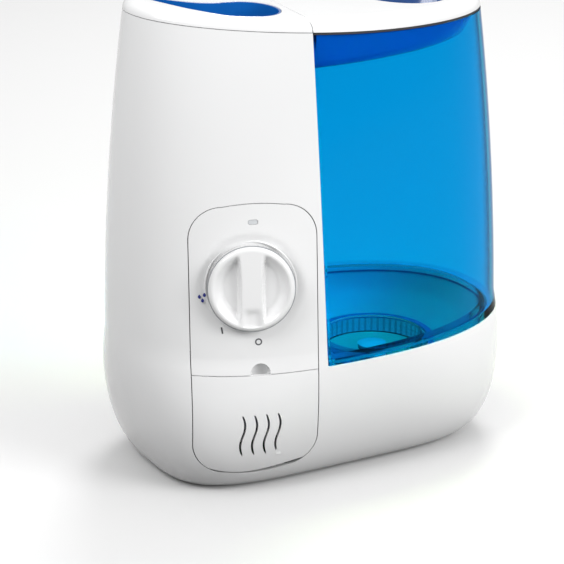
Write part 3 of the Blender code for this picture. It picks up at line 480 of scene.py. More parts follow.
def form_normal(x, y, z):
    step = 0.05
    slope = Vector((form_value(x + step, y, z) - form_value(x - step, y, z),
                    form_value(x, y + step, z) - form_value(x, y - step, z),
                    form_value(x, y, z + step) - form_value(x, y, z - step)))
    return slope.normalized()


def front_y(x, z):
    """The front surface's y at a place on the form."""
    half_x, half_y, round_x, round_y = section(z)
    return -half_y * (1 - abs(x / half_x) ** round_x) ** (1 / round_y)


def rounded(value, power):
    return math.copysign(abs(value) ** power, value)


def outline(z, inset=0.0, lift=None, around=AROUND):
    """One ring of the outer surface, set in by a distance. lift gives its height from x instead of z."""
    ring = []
    for i in range(around):
        angle = math.tau * (i + 0.5) / around
        level = z
        for _ in range(4 if lift else 1):
            half_x, half_y, round_x, round_y = section(level)
            x = (half_x - inset) * rounded(math.cos(angle), 2 / round_x)
            y = (half_y - inset) * rounded(math.sin(angle), 2 / round_y)
            level = lift(x) if lift else z
        ring.append((x, y, level))
    return ring


def seam(x):
    return SEAM_Z + SEAM_SLOPE * x + SEAM_SAG * x * x


def above_seam(rise):
    return lambda x: seam(x) + rise


def rings_at(places):
    return [outline(z, inset) for z, inset in places]


def at_seam(inset, rise):
    return outline(SEAM_Z, inset, above_seam(rise))


def levels(low, high, step):
    """Heights of the rings: even steps above the fillet and even turns within it."""
    turn = math.asin((FILLET - SHELL_FOOT) / FILLET)
    bends = [FILLET * (1 - math.sin(turn * (1 - k / 26))) for k in range(26)]
    count = int((high - FILLET) / step) + 1
    rise = [FILLET + (high - FILLET) * k / count for k in range(count)]
    return [low] + [z for z in bends + rise if low + 0.6 < z < high - 0.6] + [high]


def body_loft(inset, low=SHELL_FOOT, high=310.0, around=AROUND, step=9.0):
    return loft([outline(z, inset, around=around) for z in levels(low, high, step)])


def over_seam(rise):
    steps = [-150.0 + 5.0 * k for k in range(61)]
    edge = [(x, seam(x) + rise) for x in steps] + [(150.0, 360.0), (-150.0, 360.0)]
    return prism(edge, -120.0, 120.0, along((0, 0, 0), (0, -1, 0)))


def right_of(x, low=-10.0):
    return block((x, -130.0, low), (160.0, 130.0, 360.0))


def left_of(x):
    return block((-160.0, -130.0, -10.0), (x, 130.0, 360.0))


def rounded_rectangle(half, low, high, corner, crown, steps=14):
    points = []
    corners = ((half - corner, low + corner, -90), (half - corner, high - corner, 0),
               (-half + corner, high - corner, 90), (-half + corner, low + corner, 180))
    span = half - corner
    for u, z, start in corners:
        bow = crown if start in (0, 90) else -crown
        for k in range(steps + 1):
            points.append(polar(corner, math.radians(start + 90 * k / steps), u, z))
        if start in (0, 180):
            side = 1 if start == 0 else -1
            for k in range(1, 8):
                share = 1 - k / 4
                points.append((side * span * share, (high if start == 0 else low) + side * crown * (1 - share ** 2)))
    return points


def panel_frame():
    """Panel frame: X along the panel, Y up, Z outwards. Its origin is on the floor's level."""
    normal = Vector((-math.sin(PANEL_TURN), -math.cos(PANEL_TURN), 0.0))
    start = Vector((*PANEL_CENTRE, 0.0))
    start -= normal * start.dot(normal)
    return along(start, normal)


def hinge_frame():
    """Frame on the middle of the door's hinge: X outwards, Y up, Z along the axis."""
    normal = Vector((-math.sin(HINGE_TURN), -math.cos(HINGE_TURN), 0.0))
    across = Vector((normal.y, -normal.x, 0.0))
    start = normal * HINGE_OUT + across * Vector((*PANEL_CENTRE, 0.0)).dot(across) + Vector((0.0, 0.0, HINGE_Z))
    up = Vector((0.0, 0.0, 1.0))
    made = Matrix((normal, up, normal.cross(up))).transposed().to_4x4()
    made.translation = start
    return made


def panel_prism(shrink):
    shape = rounded_rectangle(PANEL_HALF - shrink, PANEL_FOOT + shrink, PANEL_TOP - shrink, PANEL_CORNER - shrink,
                              PANEL_CROWN)
    return prism(shape, 55.0, 130.0, panel_frame())


def knob_normal():
    return Vector((-math.sin(KNOB_TURN) * math.cos(KNOB_TILT), -math.cos(KNOB_TURN) * math.cos(KNOB_TILT),
                   math.sin(KNOB_TILT)))


def knob_frame():
    return along(KNOB_AT, knob_normal())


def teardrop(shrink):
    """Outline of the mist outlet: a round end over the chimney and a tail that bends to the back."""
    spine = ((-53.0, -28.0, 19.5), (-68.0, -26.0, 17.0), (-83.0, -17.5, 11.0), (-96.0, -3.0, 6.0),
             (-105.5, 12.0, 3.0))
    fine = []
    for k in range(len(spine) - 1):
        before, start, end, after = (Vector(spine[min(max(k + d, 0), len(spine) - 1)]) for d in (-1, 0, 1, 2))
        for share in (j / 6 for j in range(6)):
            fine.append(0.5 * (2 * start + (end - before) * share
                               + (2 * before - 5 * start + 4 * end - after) * share ** 2
                               + (3 * start - before - 3 * end + after) * share ** 3))
    fine.append(Vector(spine[-1]))
    left, right = [], []
    for k, (x, y, half) in enumerate(fine):
        before, after = fine[max(k - 1, 0)], fine[min(k + 1, len(fine) - 1)]
        way = Vector((after[0] - before[0], after[1] - before[1])).normalized()
        side = Vector((-way.y, way.x)) * (half - shrink)
        left.append((x + side.x, y + side.y))
        right.append((x - side.x, y - side.y))
    x, y, half = fine[0]
    start = math.atan2(right[0][1] - y, right[0][0] - x)
    steps = 26
    cap = [polar(half - shrink, start - math.pi * k / steps, x, y) for k in range(1, steps)]
    x, y, half = fine[-1]
    start = math.atan2(left[-1][1] - y, left[-1][0] - x)
    tip = [polar(half - shrink, start - math.pi * k / 8, x, y) for k in range(1, 8)]
    return left + tip + right[::-1] + cap


# ---- finishing a piece ----

def settle(body, name, finish, rides, *stands_for, slot="", exact=False, skip=None):
    """Shades a piece, gives it its finish, body, slot and the nodes it stands for. The slot is the finish's
    name unless given, and None is no slot."""
    body.name = name
    mesh = body.data
    mesh.name = name
    work = bmesh.new()
    work.from_mesh(mesh)
    bmesh.ops.remove_doubles(work, verts=work.verts, dist=WELD)
    bmesh.ops.dissolve_degenerate(work, dist=WELD, edges=work.edges)
    work.to_mesh(mesh)
    work.free()
    mesh.materials.clear()
    mesh.materials.append(FINISH[finish])
    mesh.shade_smooth()
    mesh.set_sharp_from_angle(angle=math.radians(SHARP_DEG))
    if exact:
        follow_form(mesh, skip)
    if stands_for:
        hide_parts(*stands_for)
    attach(body, rides)
    return body


def follow_form(mesh, skip=None):
    """Gives the faces that lie on the outer form its exact normals, so that long faces shade evenly."""
    exact = {}
    for vertex in mesh.vertices:
        x, y, z = vertex.co / MM
        if abs(form_value(x, y, z)) < ON_FORM and not (skip and skip(vertex.co / MM)):
            exact[vertex.index] = form_normal(x, y, z)
    normals = [(0.0, 0.0, 0.0)] * len(mesh.loops)
    for face in mesh.polygons:
        for index in face.loop_indices:
            target = exact.get(mesh.loops[index].vertex_index)
            if target and face.normal.dot(target) > ALIGNED:
                normals[index] = tuple(target)
    mesh.normals_split_custom_set(normals)


# ---- geometry node trees for what repeats ----

def new_tree(name, inputs):
    """An empty tree with named inputs, given as (name, socket type, default)."""
    tree = bpy.data.node_groups.new(name, "GeometryNodeTree")
    tree.interface.new_socket("Geometry", in_out="INPUT", socket_type="NodeSocketGeometry")
    tree.interface.new_socket("Geometry", in_out="OUTPUT", socket_type="NodeSocketGeometry")
    for label, kind, default in inputs:
        socket = tree.interface.new_socket(label, in_out="INPUT", socket_type=kind)
        if default is not None:
            socket.default_value = default
    return tree, tree.nodes.new("NodeGroupInput"), tree.nodes.new("NodeGroupOutput")


def end_tree(tree, source, finish, out):
    real = placed(tree, "RealizeInstances", Geometry=source)
    done = placed(tree, "SetMaterial", Geometry=real.outputs[0], Material=finish)
    tree.links.new(done.outputs[0], out.inputs[0])
    return tree


def grown(tree, points, name, values, edges=(), attribute=None):
    """Runs a tree on a mesh of points in millimetres, bakes the result and removes the modifier."""
    mesh = bpy.data.meshes.new(name)
    mesh.from_pydata([Vector(p) * MM for p in points], list(edges), [])
    if attribute:
        label, vectors = attribute
        layer = mesh.attributes.new(label, "FLOAT_VECTOR", "POINT")
        for item, vector in zip(layer.data, vectors):
            item.vector = vector
    made = linked(name, mesh)
    step = made.modifiers.new("grow", "NODES")
    step.node_group = tree
    for item in tree.interface.items_tree:
        if item.item_type == "SOCKET" and item.in_out == "INPUT" and item.name in values:
            step[item.identifier] = values[item.name]
    graph = bpy.context.evaluated_depsgraph_get()
    baked = bpy.data.meshes.new_from_object(made.evaluated_get(graph))
    made.modifiers.clear()
    made.data = baked
    bpy.data.meshes.remove(mesh)
    return made


def maths(tree, operation, first, second):
    made = placed(tree, "ShaderNodeMath")
    made.operation = operation
    joint(tree, first, made.inputs[0])
    joint(tree, second, made.inputs[1])
    return made.outputs[0]


def raised(tree, shape, height, turn=0.0):
    """A shape moved up and turned round the vertical."""
    up = placed(tree, "ShaderNodeCombineXYZ", Z=height)
    return placed(tree, "Transform", Geometry=shape.outputs[0], Translation=up.outputs[0],
                  Rotation=(0.0, 0.0, turn))


def together(tree, *shapes):
    made = placed(tree, "JoinGeometry")
    for shape in shapes:
        tree.links.new(shape.outputs[0], made.inputs[0])
    return made


def stud_tree():
    """Round heads such as screws and feet, one on each point, facing the way of the point's aim."""
    tree, given, out = new_tree("round_studs", (
        ("Radius", "NodeSocketFloat", 0.003), ("Height", "NodeSocketFloat", 0.001),
        ("Edge", "NodeSocketFloat", 0.0004), ("Recess Length", "NodeSocketFloat", 0.003),
        ("Recess Width", "NodeSocketFloat", 0.0008), ("Recess", "NodeSocketBool", True),
        ("Shank Radius", "NodeSocketFloat", 0.0), ("Shank Length", "NodeSocketFloat", 0.001),
        ("Finish", "NodeSocketMaterial", None)))
    value = given.outputs
    flat = maths(tree, "SUBTRACT", value["Height"], value["Edge"])
    inner = maths(tree, "SUBTRACT", value["Radius"], value["Edge"])
    body = placed(tree, "MeshCylinder", Vertices=32, Radius=value["Radius"], Depth=flat)
    crown = placed(tree, "MeshCone", Vertices=32, Radius_Top=inner, Radius_Bottom=value["Radius"],
                   Depth=value["Edge"])
    shank = placed(tree, "MeshCylinder", Vertices=16, Radius=value["Shank Radius"],
                   Depth=value["Shank Length"])
    shank = raised(tree, shank, maths(tree, "MULTIPLY", value["Shank Length"], -0.499))
    head = together(tree, raised(tree, body, maths(tree, "MULTIPLY", flat, 0.5)), raised(tree, crown, flat))
    head = placed(tree, "MergeByDistance", Geometry=head.outputs[0], Distance=0.000005)
    size = placed(tree, "ShaderNodeCombineXYZ", X=value["Recess Length"], Y=value["Recess Width"],
                  Z=value["Height"])
    bar = placed(tree, "MeshCube", Size=size.outputs[0])
    bars = together(tree, *(raised(tree, bar, value["Height"], turn) for turn in (0.0, math.pi / 2)))
    crossed = placed(tree, "MeshBoolean", Mesh_1=head.outputs[0], Mesh_2=bars.outputs[0])
    crossed.operation = "DIFFERENCE"
    crossed.solver = "EXACT"
    pick = placed(tree, "Switch")
    pick.input_type = "GEOMETRY"
    tree.links.new(value["Recess"], pick.inputs["Switch"])
    tree.links.new(head.outputs[0], pick.inputs["False"])
    tree.links.new(crossed.outputs[0], pick.inputs["True"])
    whole = together(tree, pick, shank)
    aim = placed(tree, "InputNamedAttribute", Name="aim")
    aim.data_type = "FLOAT_VECTOR"
    turn = placed(tree, "FunctionNodeAlignRotationToVector", Vector=aim.outputs[0])
    turn.axis = "Z"
    spread = placed(tree, "InstanceOnPoints", Points=value["Geometry"], Instance=whole.outputs[0],
                    Rotation=turn.outputs[0])
    return end_tree(tree, spread.outputs[0], value["Finish"], out)


def slat_tree():
    """Slats swept along a line and repeated upwards."""
    tree, given, out = new_tree("intake_slats", (
        ("Count", "NodeSocketInt", 9), ("Step", "NodeSocketVector", (0.0, 0.0, 0.005)),
        ("Depth", "NodeSocketFloat", 0.004), ("Thickness", "NodeSocketFloat", 0.0012),
        ("Tilt", "NodeSocketFloat", 0.6), ("Finish", "NodeSocketMaterial", None)))
    value = given.outputs
    line = placed(tree, "MeshToCurve", Mesh=value["Geometry"])
    leaned = placed(tree, "SetCurveNormal", Curve=line.outputs[0])
    leaned.mode = "Z_UP"
    blade = placed(tree, "CurvePrimitiveQuadrilateral", Width=value["Depth"], Height=value["Thickness"])
    spin = placed(tree, "ShaderNodeCombineXYZ", Z=value["Tilt"])
    blade = placed(tree, "Transform", Geometry=blade.outputs[0], Rotation=spin.outputs[0])
    slat = placed(tree, "CurveToMesh", Curve=leaned.outputs[0], Profile_Curve=blade.outputs[0],
                  Fill_Caps=True)
    stack = placed(tree, "MeshLine", Count=value["Count"], Offset=value["Step"])
    rows = placed(tree, "InstanceOnPoints", Points=stack.outputs[0], Instance=slat.outputs[0])
    return end_tree(tree, rows.outputs[0], value["Finish"], out)


def ring_tree():
    """One shape repeated round an axis: grip ribs on a cap, or tilted fan blades."""
    tree, given, out = new_tree("turned_round", (
        ("Count", "NodeSocketInt", 7), ("Radius", "NodeSocketFloat", 0.015),
        ("Size", "NodeSocketVector", (0.012, 0.001, 0.009)), ("Pitch", "NodeSocketFloat", 0.6),
        ("Finish", "NodeSocketMaterial", None)))
    value = given.outputs
    ring = placed(tree, "MeshCircle", Vertices=value["Count"], Radius=value["Radius"])
    shape = placed(tree, "MeshCube", Size=value["Size"])
    lean = placed(tree, "ShaderNodeCombineXYZ", X=value["Pitch"])
    shape = placed(tree, "Transform", Geometry=shape.outputs[0], Rotation=lean.outputs[0])
    place = tree.nodes.new("GeometryNodeInputPosition")
    turn = placed(tree, "FunctionNodeAlignRotationToVector", Vector=place.outputs[0])
    turn.axis = "X"
    turn.pivot_axis = "Z"
    spread = placed(tree, "InstanceOnPoints", Points=ring.outputs[0], Instance=shape.outputs[0],
                    Rotation=turn.outputs[0])
    real = placed(tree, "RealizeInstances", Geometry=spread.outputs[0])
    aim = placed(tree, "InputNamedAttribute", Name="aim")
    aim.data_type = "FLOAT_VECTOR"
    face = placed(tree, "FunctionNodeAlignRotationToVector", Vector=aim.outputs[0])
    face.axis = "Z"
    all_of = placed(tree, "InstanceOnPoints", Points=value["Geometry"], Instance=real.outputs[0],
                    Rotation=face.outputs[0])
    return end_tree(tree, all_of.outputs[0], value["Finish"], out)


# ---- base and tower ----

def boss(x, y):
    """Screw boss that hangs in the housing over the bottom plate."""
    post = cylinder(4.2, 5.6, 18.0, at(x, y), 24)
    half_x, half_y, _, _ = section(5.6)
    if abs(y) < abs(x):
        reach = math.copysign(half_x - WALL / 2, x)
        add(post, block((min(x, reach), y - 1.0, 5.6), (max(x, reach), y + 1.0, 14.0)))
    else:
        reach = math.copysign(half_y - WALL / 2, y)
        add(post, block((x - 1.0, min(y, reach), 5.6), (x + 1.0, max(y, reach), 14.0)))
    return cut(post, cylinder(1.6, 0.0, 12.0, at(x, y), 16))


PLATE_SCREWS = ((-94.0, -8.0), (-14.0, -46.0), (98.0, 0.0), (-14.0, 46.0))
FEET = ((-82.0, -30.0), (82.0, -30.0), (82.0, 30.0), (-82.0, 30.0))


def build_housing():
    body = body_loft(0.0)
    cut(body, over_seam(0.0), right_of(BAY_X, RIM_Z))
    cavity = body_loft(WALL, -4.0, 330.0)
    cut(cavity, right_of(BAY_X - WALL, RIM_Z - DECK))
    well = keep(body_loft(RIM_WIDTH, 70.0, 100.0), right_of(TANK_X + 5.0))
    cut(body, cavity, well)
    add(body, *(boss(x, y) for x, y in PLATE_SCREWS))
    cut(body, keep(panel_prism(0.0), left_of(BAY_X - WALL + 0.1)))
    half = GRILLE_SIDE / 2
    cut(body, block((-half, -half, 20.0), (half, half, 90.0), along((FAN_AT[0], 0, FAN_AT[2]), (0, 1, 0))))
    cut(body, block((-12.5, -9.5, 50.0), (12.5, 9.5, 110.0), along((INLET_AT[0], 0, INLET_AT[1]), (0, 1, 0))))
    settle(body, "housing_shell", "white_gloss", "root", "main_housing", exact=True)


def build_tray():
    foot, top = TRAY_FLOOR - TRAY_WALL, RIM_Z - DECK - 1.6
    inset = RIM_WIDTH - TRAY_WALL
    steps = [34.0 + 4.0 * k for k in range(11)]
    outer = loft([outline(z, inset) for z in (foot, *steps, top)])
    inner = loft([outline(z, inset + TRAY_WALL) for z in (TRAY_FLOOR, *steps, top + 3.0)])
    tray = keep(outer, right_of(TANK_X + 2.0))
    mx, my = MIST_AT
    add(tray, block((mx, my - CHANNEL_HALF - TRAY_WALL, foot),
                    (TANK_X + 8.0, my + CHANNEL_HALF + TRAY_WALL, CHANNEL_TOP + TRAY_WALL)))
    add(tray, cylinder(CHAMBER_RADIUS + TRAY_WALL, foot, CHAMBER_TOP, at(mx, my)))
    cut(tray, keep(inner, right_of(TANK_X + 2.0 + TRAY_WALL)))
    cut(tray, cylinder(CHAMBER_RADIUS, TRAY_FLOOR, CHAMBER_TOP + 4.0, at(mx, my)))
    cut(tray, block((mx, my - CHANNEL_HALF, TRAY_FLOOR + 0.01), (TANK_X + 9.0, my + CHANNEL_HALF, CHANNEL_TOP)))
    cut(tray, cylinder(8.5, foot - 3.0, TRAY_FLOOR + 3.0, at(mx, my)))
    add(tray, turned([(0, foot + 0.5), (5.0, foot + 0.5), (3.4, CAP_FOOT - 5.8), (0, CAP_FOOT - 5.8)],
                     at(*TANK_AT), 32))
    for k in range(6):
        spoke = at(*TANK_AT) @ Matrix.Rotation(math.tau * k / 6, 4, "Z")
        add(tray, block((3.0, -0.8, TRAY_FLOOR - 1.0), (9.0, 0.8, CAP_FOOT - 9.0), spoke))
    cut(tray, block((-9.0, -9.0, CHAMBER_TOP - 26.0), (9.0, 9.0, CHAMBER_TOP - 8.0),
                    at(mx - 12.0, my + CHAMBER_RADIUS)))
    settle(tray, "water_basin", "inner_white", "root", "basin_tray")


def wall_piece(low, high, shrink, step=9.0, around=AROUND):
    """The part of the outer wall inside the panel's outline, between two heights."""
    outer = body_loft(0.0, max(low - 12.0, 4.0), high + 8.0, around, step)
    piece = cut(outer, body_loft(WALL, max(low - 13.0, 3.0), high + 16.0, around, step))
    keep(piece, panel_prism(shrink))
    return keep(piece, block((-140.0, -130.0, low), (10.0, 0.0, high)))


def knob_distance(point):
    """Distance of a point from the knob's axis."""
    away = point - Vector(KNOB_AT)
    out = knob_normal()
    return (away - out * away.dot(out)).length


def press_dish(mesh):
    """Sinks the panel towards the knob in a shallow dish."""
    depth = sizes().dish_depth / MM
    for vertex in mesh.vertices:
        share = 1 - smooth_step(DISH_FLAT, DISH_EDGE, knob_distance(vertex.co / MM))
        vertex.co -= knob_normal() * (depth * share * MM)


def build_panel():
    gap = sizes().panel_gap / MM
    panel = wall_piece(PANEL_SPLIT + gap / 2, PANEL_TOP + 10.0, gap, 1.8, FINE_AROUND)
    face, front = knob_frame(), panel_frame()
    cut(panel, cylinder(4.2, -30.0, 30.0, face, 32))
    cut(panel, cylinder(6.2, 50.0, 140.0, front @ at(NOTCH_U, PANEL_SPLIT + NOTCH_RISE), 48))
    light = front @ at(*LIGHT_AT)
    cut(panel, prism(rounded_rectangle(3.15, -1.55, 1.55, 1.5, 0.0), 50.0, 140.0, light))
    press_dish(panel.data)
    settle(panel, "panel_shell", "white_gloss", "root", "control_panel", exact=True,
           skip=lambda point: knob_distance(point) < DISH_EDGE + 1.0)
    lens = prism(rounded_rectangle(2.95, -1.35, 1.35, 1.3, 0.0), 68.6, 85.0, light)
    trim = keep(lens, loft([outline(z, 0.35) for z in levels(150.0, 200.0, 2.0)]))
    settle(trim, "status_lens", "smoke_lens", "root", "indicator_lens")
    dip = sizes().dish_depth / MM
    collar = [(27.1, -0.9 - dip), (27.8, -0.9 - dip), (28.1, 0.2 - dip), (27.8, 0.7 - dip), (27.3, 0.7 - dip),
              (27.1, 0.4 - dip)]
    settle(turned(collar, face, 96), "knob_collar", "white_gloss", "root", "knob_bezel")
    build_notch()
    build_marks()


def build_notch():
    """Finger cup behind the notch over the door."""
    place = panel_frame() @ at(NOTCH_U, PANEL_SPLIT + NOTCH_RISE)
    x, y = (place @ Vector((0, 0, 0))).xy
    out = Vector((-math.sin(PANEL_TURN), -math.cos(PANEL_TURN)))
    reach = 0.0
    while form_value(x + out.x * reach, y + out.y * reach, PANEL_SPLIT) < 0:
        reach += 0.2
    rim, deep = reach - WALL - 0.3, reach - WALL - 4.2
    profile = [(7.2, rim), (6.4, rim), (6.2, rim - 1.0), (5.2, deep + 1.0), (3.0, deep + 0.2), (0, deep),
               (0, deep - 0.9), (3.6, deep - 0.7), (6.2, deep + 0.3), (7.2, rim - 1.0)]
    cup = turned(profile, place, 48)
    keep(cup, block((-20.0, 0.0, 0.0), (20.0, 20.0, 200.0), panel_frame() @ at(NOTCH_U, PANEL_SPLIT - 4.0)))
    settle(cup, "notch_cup", "white_gloss", "root")


def on_front(x, z, du, dv, out):
    """A point on the front surface, du sideways and dv upwards from a place, raised by out."""
    normal = form_normal(x, front_y(x, z), z)
    side = Vector((0, 0, 1)).cross(normal).normalized()
    spot = Vector((x, front_y(x, z), z)) + side * du + normal.cross(side) * dv
    point = Vector((spot.x, front_y(spot.x, spot.z), spot.z))
    return point + form_normal(*point) * out


def printed(shape, x, z, hole=None):
    """A thin printed shape on the front surface, from an outline and perhaps an inner outline."""
    rings = []
    for line, height in ((shape, -0.05), (shape, 0.07)) + (((hole, 0.07), (hole, -0.05)) if hole else ()):
        rings.append([tuple(on_front(x, z, du, dv, height)) for du, dv in line])
    return loft(rings, looped=bool(hole), fan=not hole)


def build_marks():
    """Off, on and mist marks round the dial."""
    marks = printed(oval((0, 0), (2.2, 2.2), 28), *OFF_AT, oval((0, 0), (1.35, 1.35), 28))
    bar = [(-0.45, -2.1), (0.45, -2.1), (0.45, 2.1), (-0.45, 2.1)]
    bar = [(u * math.cos(0.16) - v * math.sin(0.16), u * math.sin(0.16) + v * math.cos(0.16)) for u, v in bar]
    add(marks, printed(bar, *ON_AT))
    settle(marks, "off_on_marks", "mark_grey", "root", slot=None)
    drops = []
    for u, v in ((-1.5, 0.4), (1.5, 1.6), (0.4, -1.9)):
        drop = [(u + 0.95 * math.sin(t) * (1 - 0.45 * max(math.cos(t), 0)), v + 1.25 * math.cos(t) + 0.25)
                for t in (math.tau * k / 20 for k in range(20))]
        drops.append(printed(drop, *MIST_MARK_AT))
    settle(add(*drops), "mist_mark", "mark_navy", "root", slot=None)


def build_knob():
    """Knob: a disc whose face dips in two scoops and leaves a grip bar across its middle."""
    reach, scoop = sizes().knob_radius / MM, sizes().knob_scoop / MM
    low, high, around = 0.2, 8.9, 144
    rim = [(reach - 1.2, low), (reach - 0.3, low + 0.4), (reach, low + 1.4), (reach, high - 3.2),
           (reach - 0.25, high - 2.1), (reach - 0.8, high - 1.2), (reach - 1.6, high - 0.6),
           (reach - 2.6, high - 0.3)]
    face = [(reach - 2.6) * (1 - k / 40) for k in range(1, 40)]

    def height(x, y, radius):
        crown = high - 0.3 + 0.3 * (1 - (radius / (reach - 2.6)) ** 2)
        bar = 5.9 + 1.6 * (y / reach) ** 2
        inner = smooth_step(bar, bar + 2.6, abs(x))
        outer = 1 - smooth_step(0.62, 0.9, radius / reach)
        pointer = math.exp(-((x / 4.8) ** 4) - ((y + 19.5) / 6.2) ** 4)
        return crown - scoop * inner * outer - 1.5 * pointer

    rings = [[(*polar(r, math.tau * i / around), z) for i in range(around)]
             for r, z in [(3.4, low), (reach * 0.6, low)] + rim]
    for radius in face:
        ring = []
        for i in range(around):
            x, y = polar(radius, math.tau * i / around)
            ring.append((x, y, height(x, y, radius)))
        rings.append(ring)
    rings.insert(0, [(x, y, high - 3.0) for x, y, z in rings[0]])
    knob = loft(rings, knob_frame())
    settle(knob, "dial_knob", "white_gloss", "dial", "knob")
    # Painted shadow: this grey ring just under the knob's rim stands in for the shade in the gap round the knob.
    gap_shadow_ring = [(reach - 0.4, high - 3.3), (reach + 0.3, high - 3.3), (reach + 0.42, high - 2.9),
            (reach + 0.3, high - 2.5), (reach - 0.4, high - 2.4)]
    settle(turned(gap_shadow_ring, knob_frame(), 120), "knob_shadow_ring", "grey_plastic", "dial", slot=None)


def wave_slot(place):
    """Cutter for one slot in the shape of a lazy S."""
    left, right = [], []
    for k in range(41):
        share = k / 40
        v = 28.0 * (share - 0.5)
        u = -1.5 * math.sin(math.tau * share)
        thick = 0.3 + 0.5 * math.sin(math.pi * share) ** 0.4
        left.append((u - thick, v))
        right.append((u + thick, v))
    return prism(left + right[::-1], 50.0, 130.0, place)


def build_door():
    gap = sizes().panel_gap / MM
    front, axis = panel_frame(), hinge_frame()
    door = wall_piece(PANEL_FOOT - 5.0, PANEL_SPLIT - gap / 2, gap)
    cut(door, cylinder(HINGE_CLEAR, -60.0, 60.0, axis, 96))
    for k in range(4):
        cut(door, wave_slot(front @ at(SLOT_U + SLOT_PITCH * (k - 1.5), SLOT_Z)))
    for u in LUG_U:
        lug = axis @ at(0, 0, u)
        arm = prism([(-2.9, 0.0), (-0.6, 0.0), (-0.6, 14.0), (14.2, 14.0), (14.2, 17.5), (-2.9, 17.5)],
                    -1.5, 1.5, lug)
        add(door, add(arm, cylinder(2.9, -1.5, 1.5, lug, 32)))
    cut(door, cylinder(1.35, -60.0, 60.0, axis, 24))
    settle(door, "scent_door", "white_gloss", "door", "front_door", exact=True)


def build_grille():
    x, z = FAN_AT[0], FAN_AT[2]
    place = along((x, 0, z), (0, 1, 0))
    half = GRILLE_SIDE / 2 - 0.4
    rim = cut(body_loft(0.0, 80.0, 150.0, AROUND, 3.0), body_loft(WALL, 70.0, 160.0, AROUND, 3.0))
    keep(rim, block((-half, -half, 20.0), (half, half, 90.0), place))
    cut(rim, block((-half + 3.2, -half + 3.2, 10.0), (half - 3.2, half - 3.2, 100.0), place))
    count = sizes().slats
    low, high = z - half + 3.2, z + half - 3.2
    pitch = (high - low) / count
    first = low + pitch / 2
    line = []
    for k in range(25):
        px = x - half + 2.4 + (2 * half - 4.8) * k / 24
        line.append((px, -front_y(px, first) - 1.4, first))
    lean = (-front_y(x, high) + front_y(x, low)) / (high - low)
    slats = grown(slat_tree(), line, "slats", {
        "Count": count, "Step": (0.0, pitch * lean * MM, pitch * MM), "Depth": 2.2 * MM, "Thickness": 1.3 * MM,
        "Tilt": 0.0, "Finish": FINISH["white_gloss"]}, [(k, k + 1) for k in range(24)])
    merged = merge(rim, slats)
    settle(merged, "intake_louvre", "white_gloss", "root", "intake_grille", exact=True)


def merge(body, *others):
    """Joins meshes into one object without cutting them."""
    work = bmesh.new()
    work.from_mesh(body.data)
    for other in others:
        work.from_mesh(other.data)
        bpy.data.objects.remove(other)
    work.to_mesh(body.data)
    work.free()
    return body


def build_studs():
    """Feet and screws, repeated by one node tree."""
    tree, down = stud_tree(), (0.0, 0.0, -1.0)
    mx, my = MIST_AT
    level = TRAY_FLOOR - TRAY_WALL - 6.2
    boxes = [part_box(node) for node in ("fan_screw_1", "fan_screw_2")]
    fans = [((low.x + high.x) / 2 / MM, low.y / MM + 1.0, (low.z + high.z) / 2 / MM) for low, high in boxes]
    foot = {"Height": 0.0023, "Edge": 0.0008, "Recess": False, "Shank Radius": 0.003}
    screw = {"Height": 0.001, "Edge": 0.0003, "Recess": True, "Recess Width": 0.0007, "Shank Radius": 0.0013}
    groups = (("rubber_feet", "black_rubber", "foot", [(x, y, 2.3) for x, y in FEET], down, foot,
               0.008, 0.003, 0.0001),
              ("base_screws", "steel", "plate_screw", [(x, y, 3.7) for x, y in PLATE_SCREWS], down, screw,
               0.0029, 0.0032, 0.008),
              ("holder_screws", "steel", "retainer_screw", [(mx - 15.5, my, level), (mx + 15.5, my, level)], down,
               screw, 0.0026, 0.003, 0.0056),
              ("fan_screws", "steel", "fan_screw", fans, (0.0, -1.0, 0.0), screw, 0.0028, 0.003, 0.012))
    for name, finish, node, spots, aim, values, radius, recess, shank in groups:
        made = grown(tree, spots, name, {**values, "Radius": radius, "Recess Length": recess, "Shank Length": shank,
                                         "Finish": FINISH[finish]}, attribute=("aim", [aim] * len(spots)))
        settle(made, name, finish, "root", *[f"{node}_{k + 1}" for k in range(len(spots))])


def build_impeller():
    place = along(FAN_AT, (0, 1, 0))
    depth = 7.0
    hub = turned([(0, -depth + 1.9), (1.2, -depth + 1.9), (1.2, depth - 3.6), (8.2, depth - 3.6), (8.2, -depth + 2.6),
                  (9.6, -depth + 2.6), (9.6, depth - 2.4), (8.8, depth - 1.6), (0, depth - 1.6)], place, 48)
    blades = grown(ring_tree(), [FAN_AT], "blades", {
        "Count": sizes().blades, "Radius": 0.0149, "Size": (0.0122, 0.0094, 0.0013), "Pitch": math.radians(35),
        "Finish": FINISH["grey_plastic"]}, attribute=("aim", [(0.0, 1.0, 0.0)]))
    wheel = merge(hub, blades)
    settle(wheel, "fan_wheel", "grey_plastic", "impeller", "fan_impeller")


# ---- lids and mist outlet ----

def lid_form(drop, inset):
    """The domed top over the seam as a closed solid. drop and inset give its inner side."""
    rings = [at_seam(inset, 0.45 - 1.5 * bool(drop))]
    edge, rise = 12.5, LID_RISE - 0.9
    for k in range(1, 13):
        turn = math.pi / 2 * k / 12
        inward = edge * (1 - math.cos(turn)) ** 1.15
        height = 0.45 + rise * math.sin(turn) ** 0.9
        rings.append(at_seam(inset + inward, height - drop))
    last = rings[-1]
    for k in range(1, 10):
        share = 1 - k / 10
        crown = 0.9 * (1 - share * share)
        rings.append([(x * share, y * share, seam(x * share) + 0.45 + rise + crown - drop) for x, y, z in last])
    return loft(rings)


def build_tower_lid():
    lid = keep(lid_form(0.0, 0.0), left_of(BAY_X - 0.2))
    cut(lid, keep(lid_form(LID_WALL, LID_WALL), left_of(BAY_X - 2.4)))
    cut(lid, prism(teardrop(0.0), 270.0, 320.0))
    settle(lid, "tower_top", "white_gloss", "root", "tower_lid")


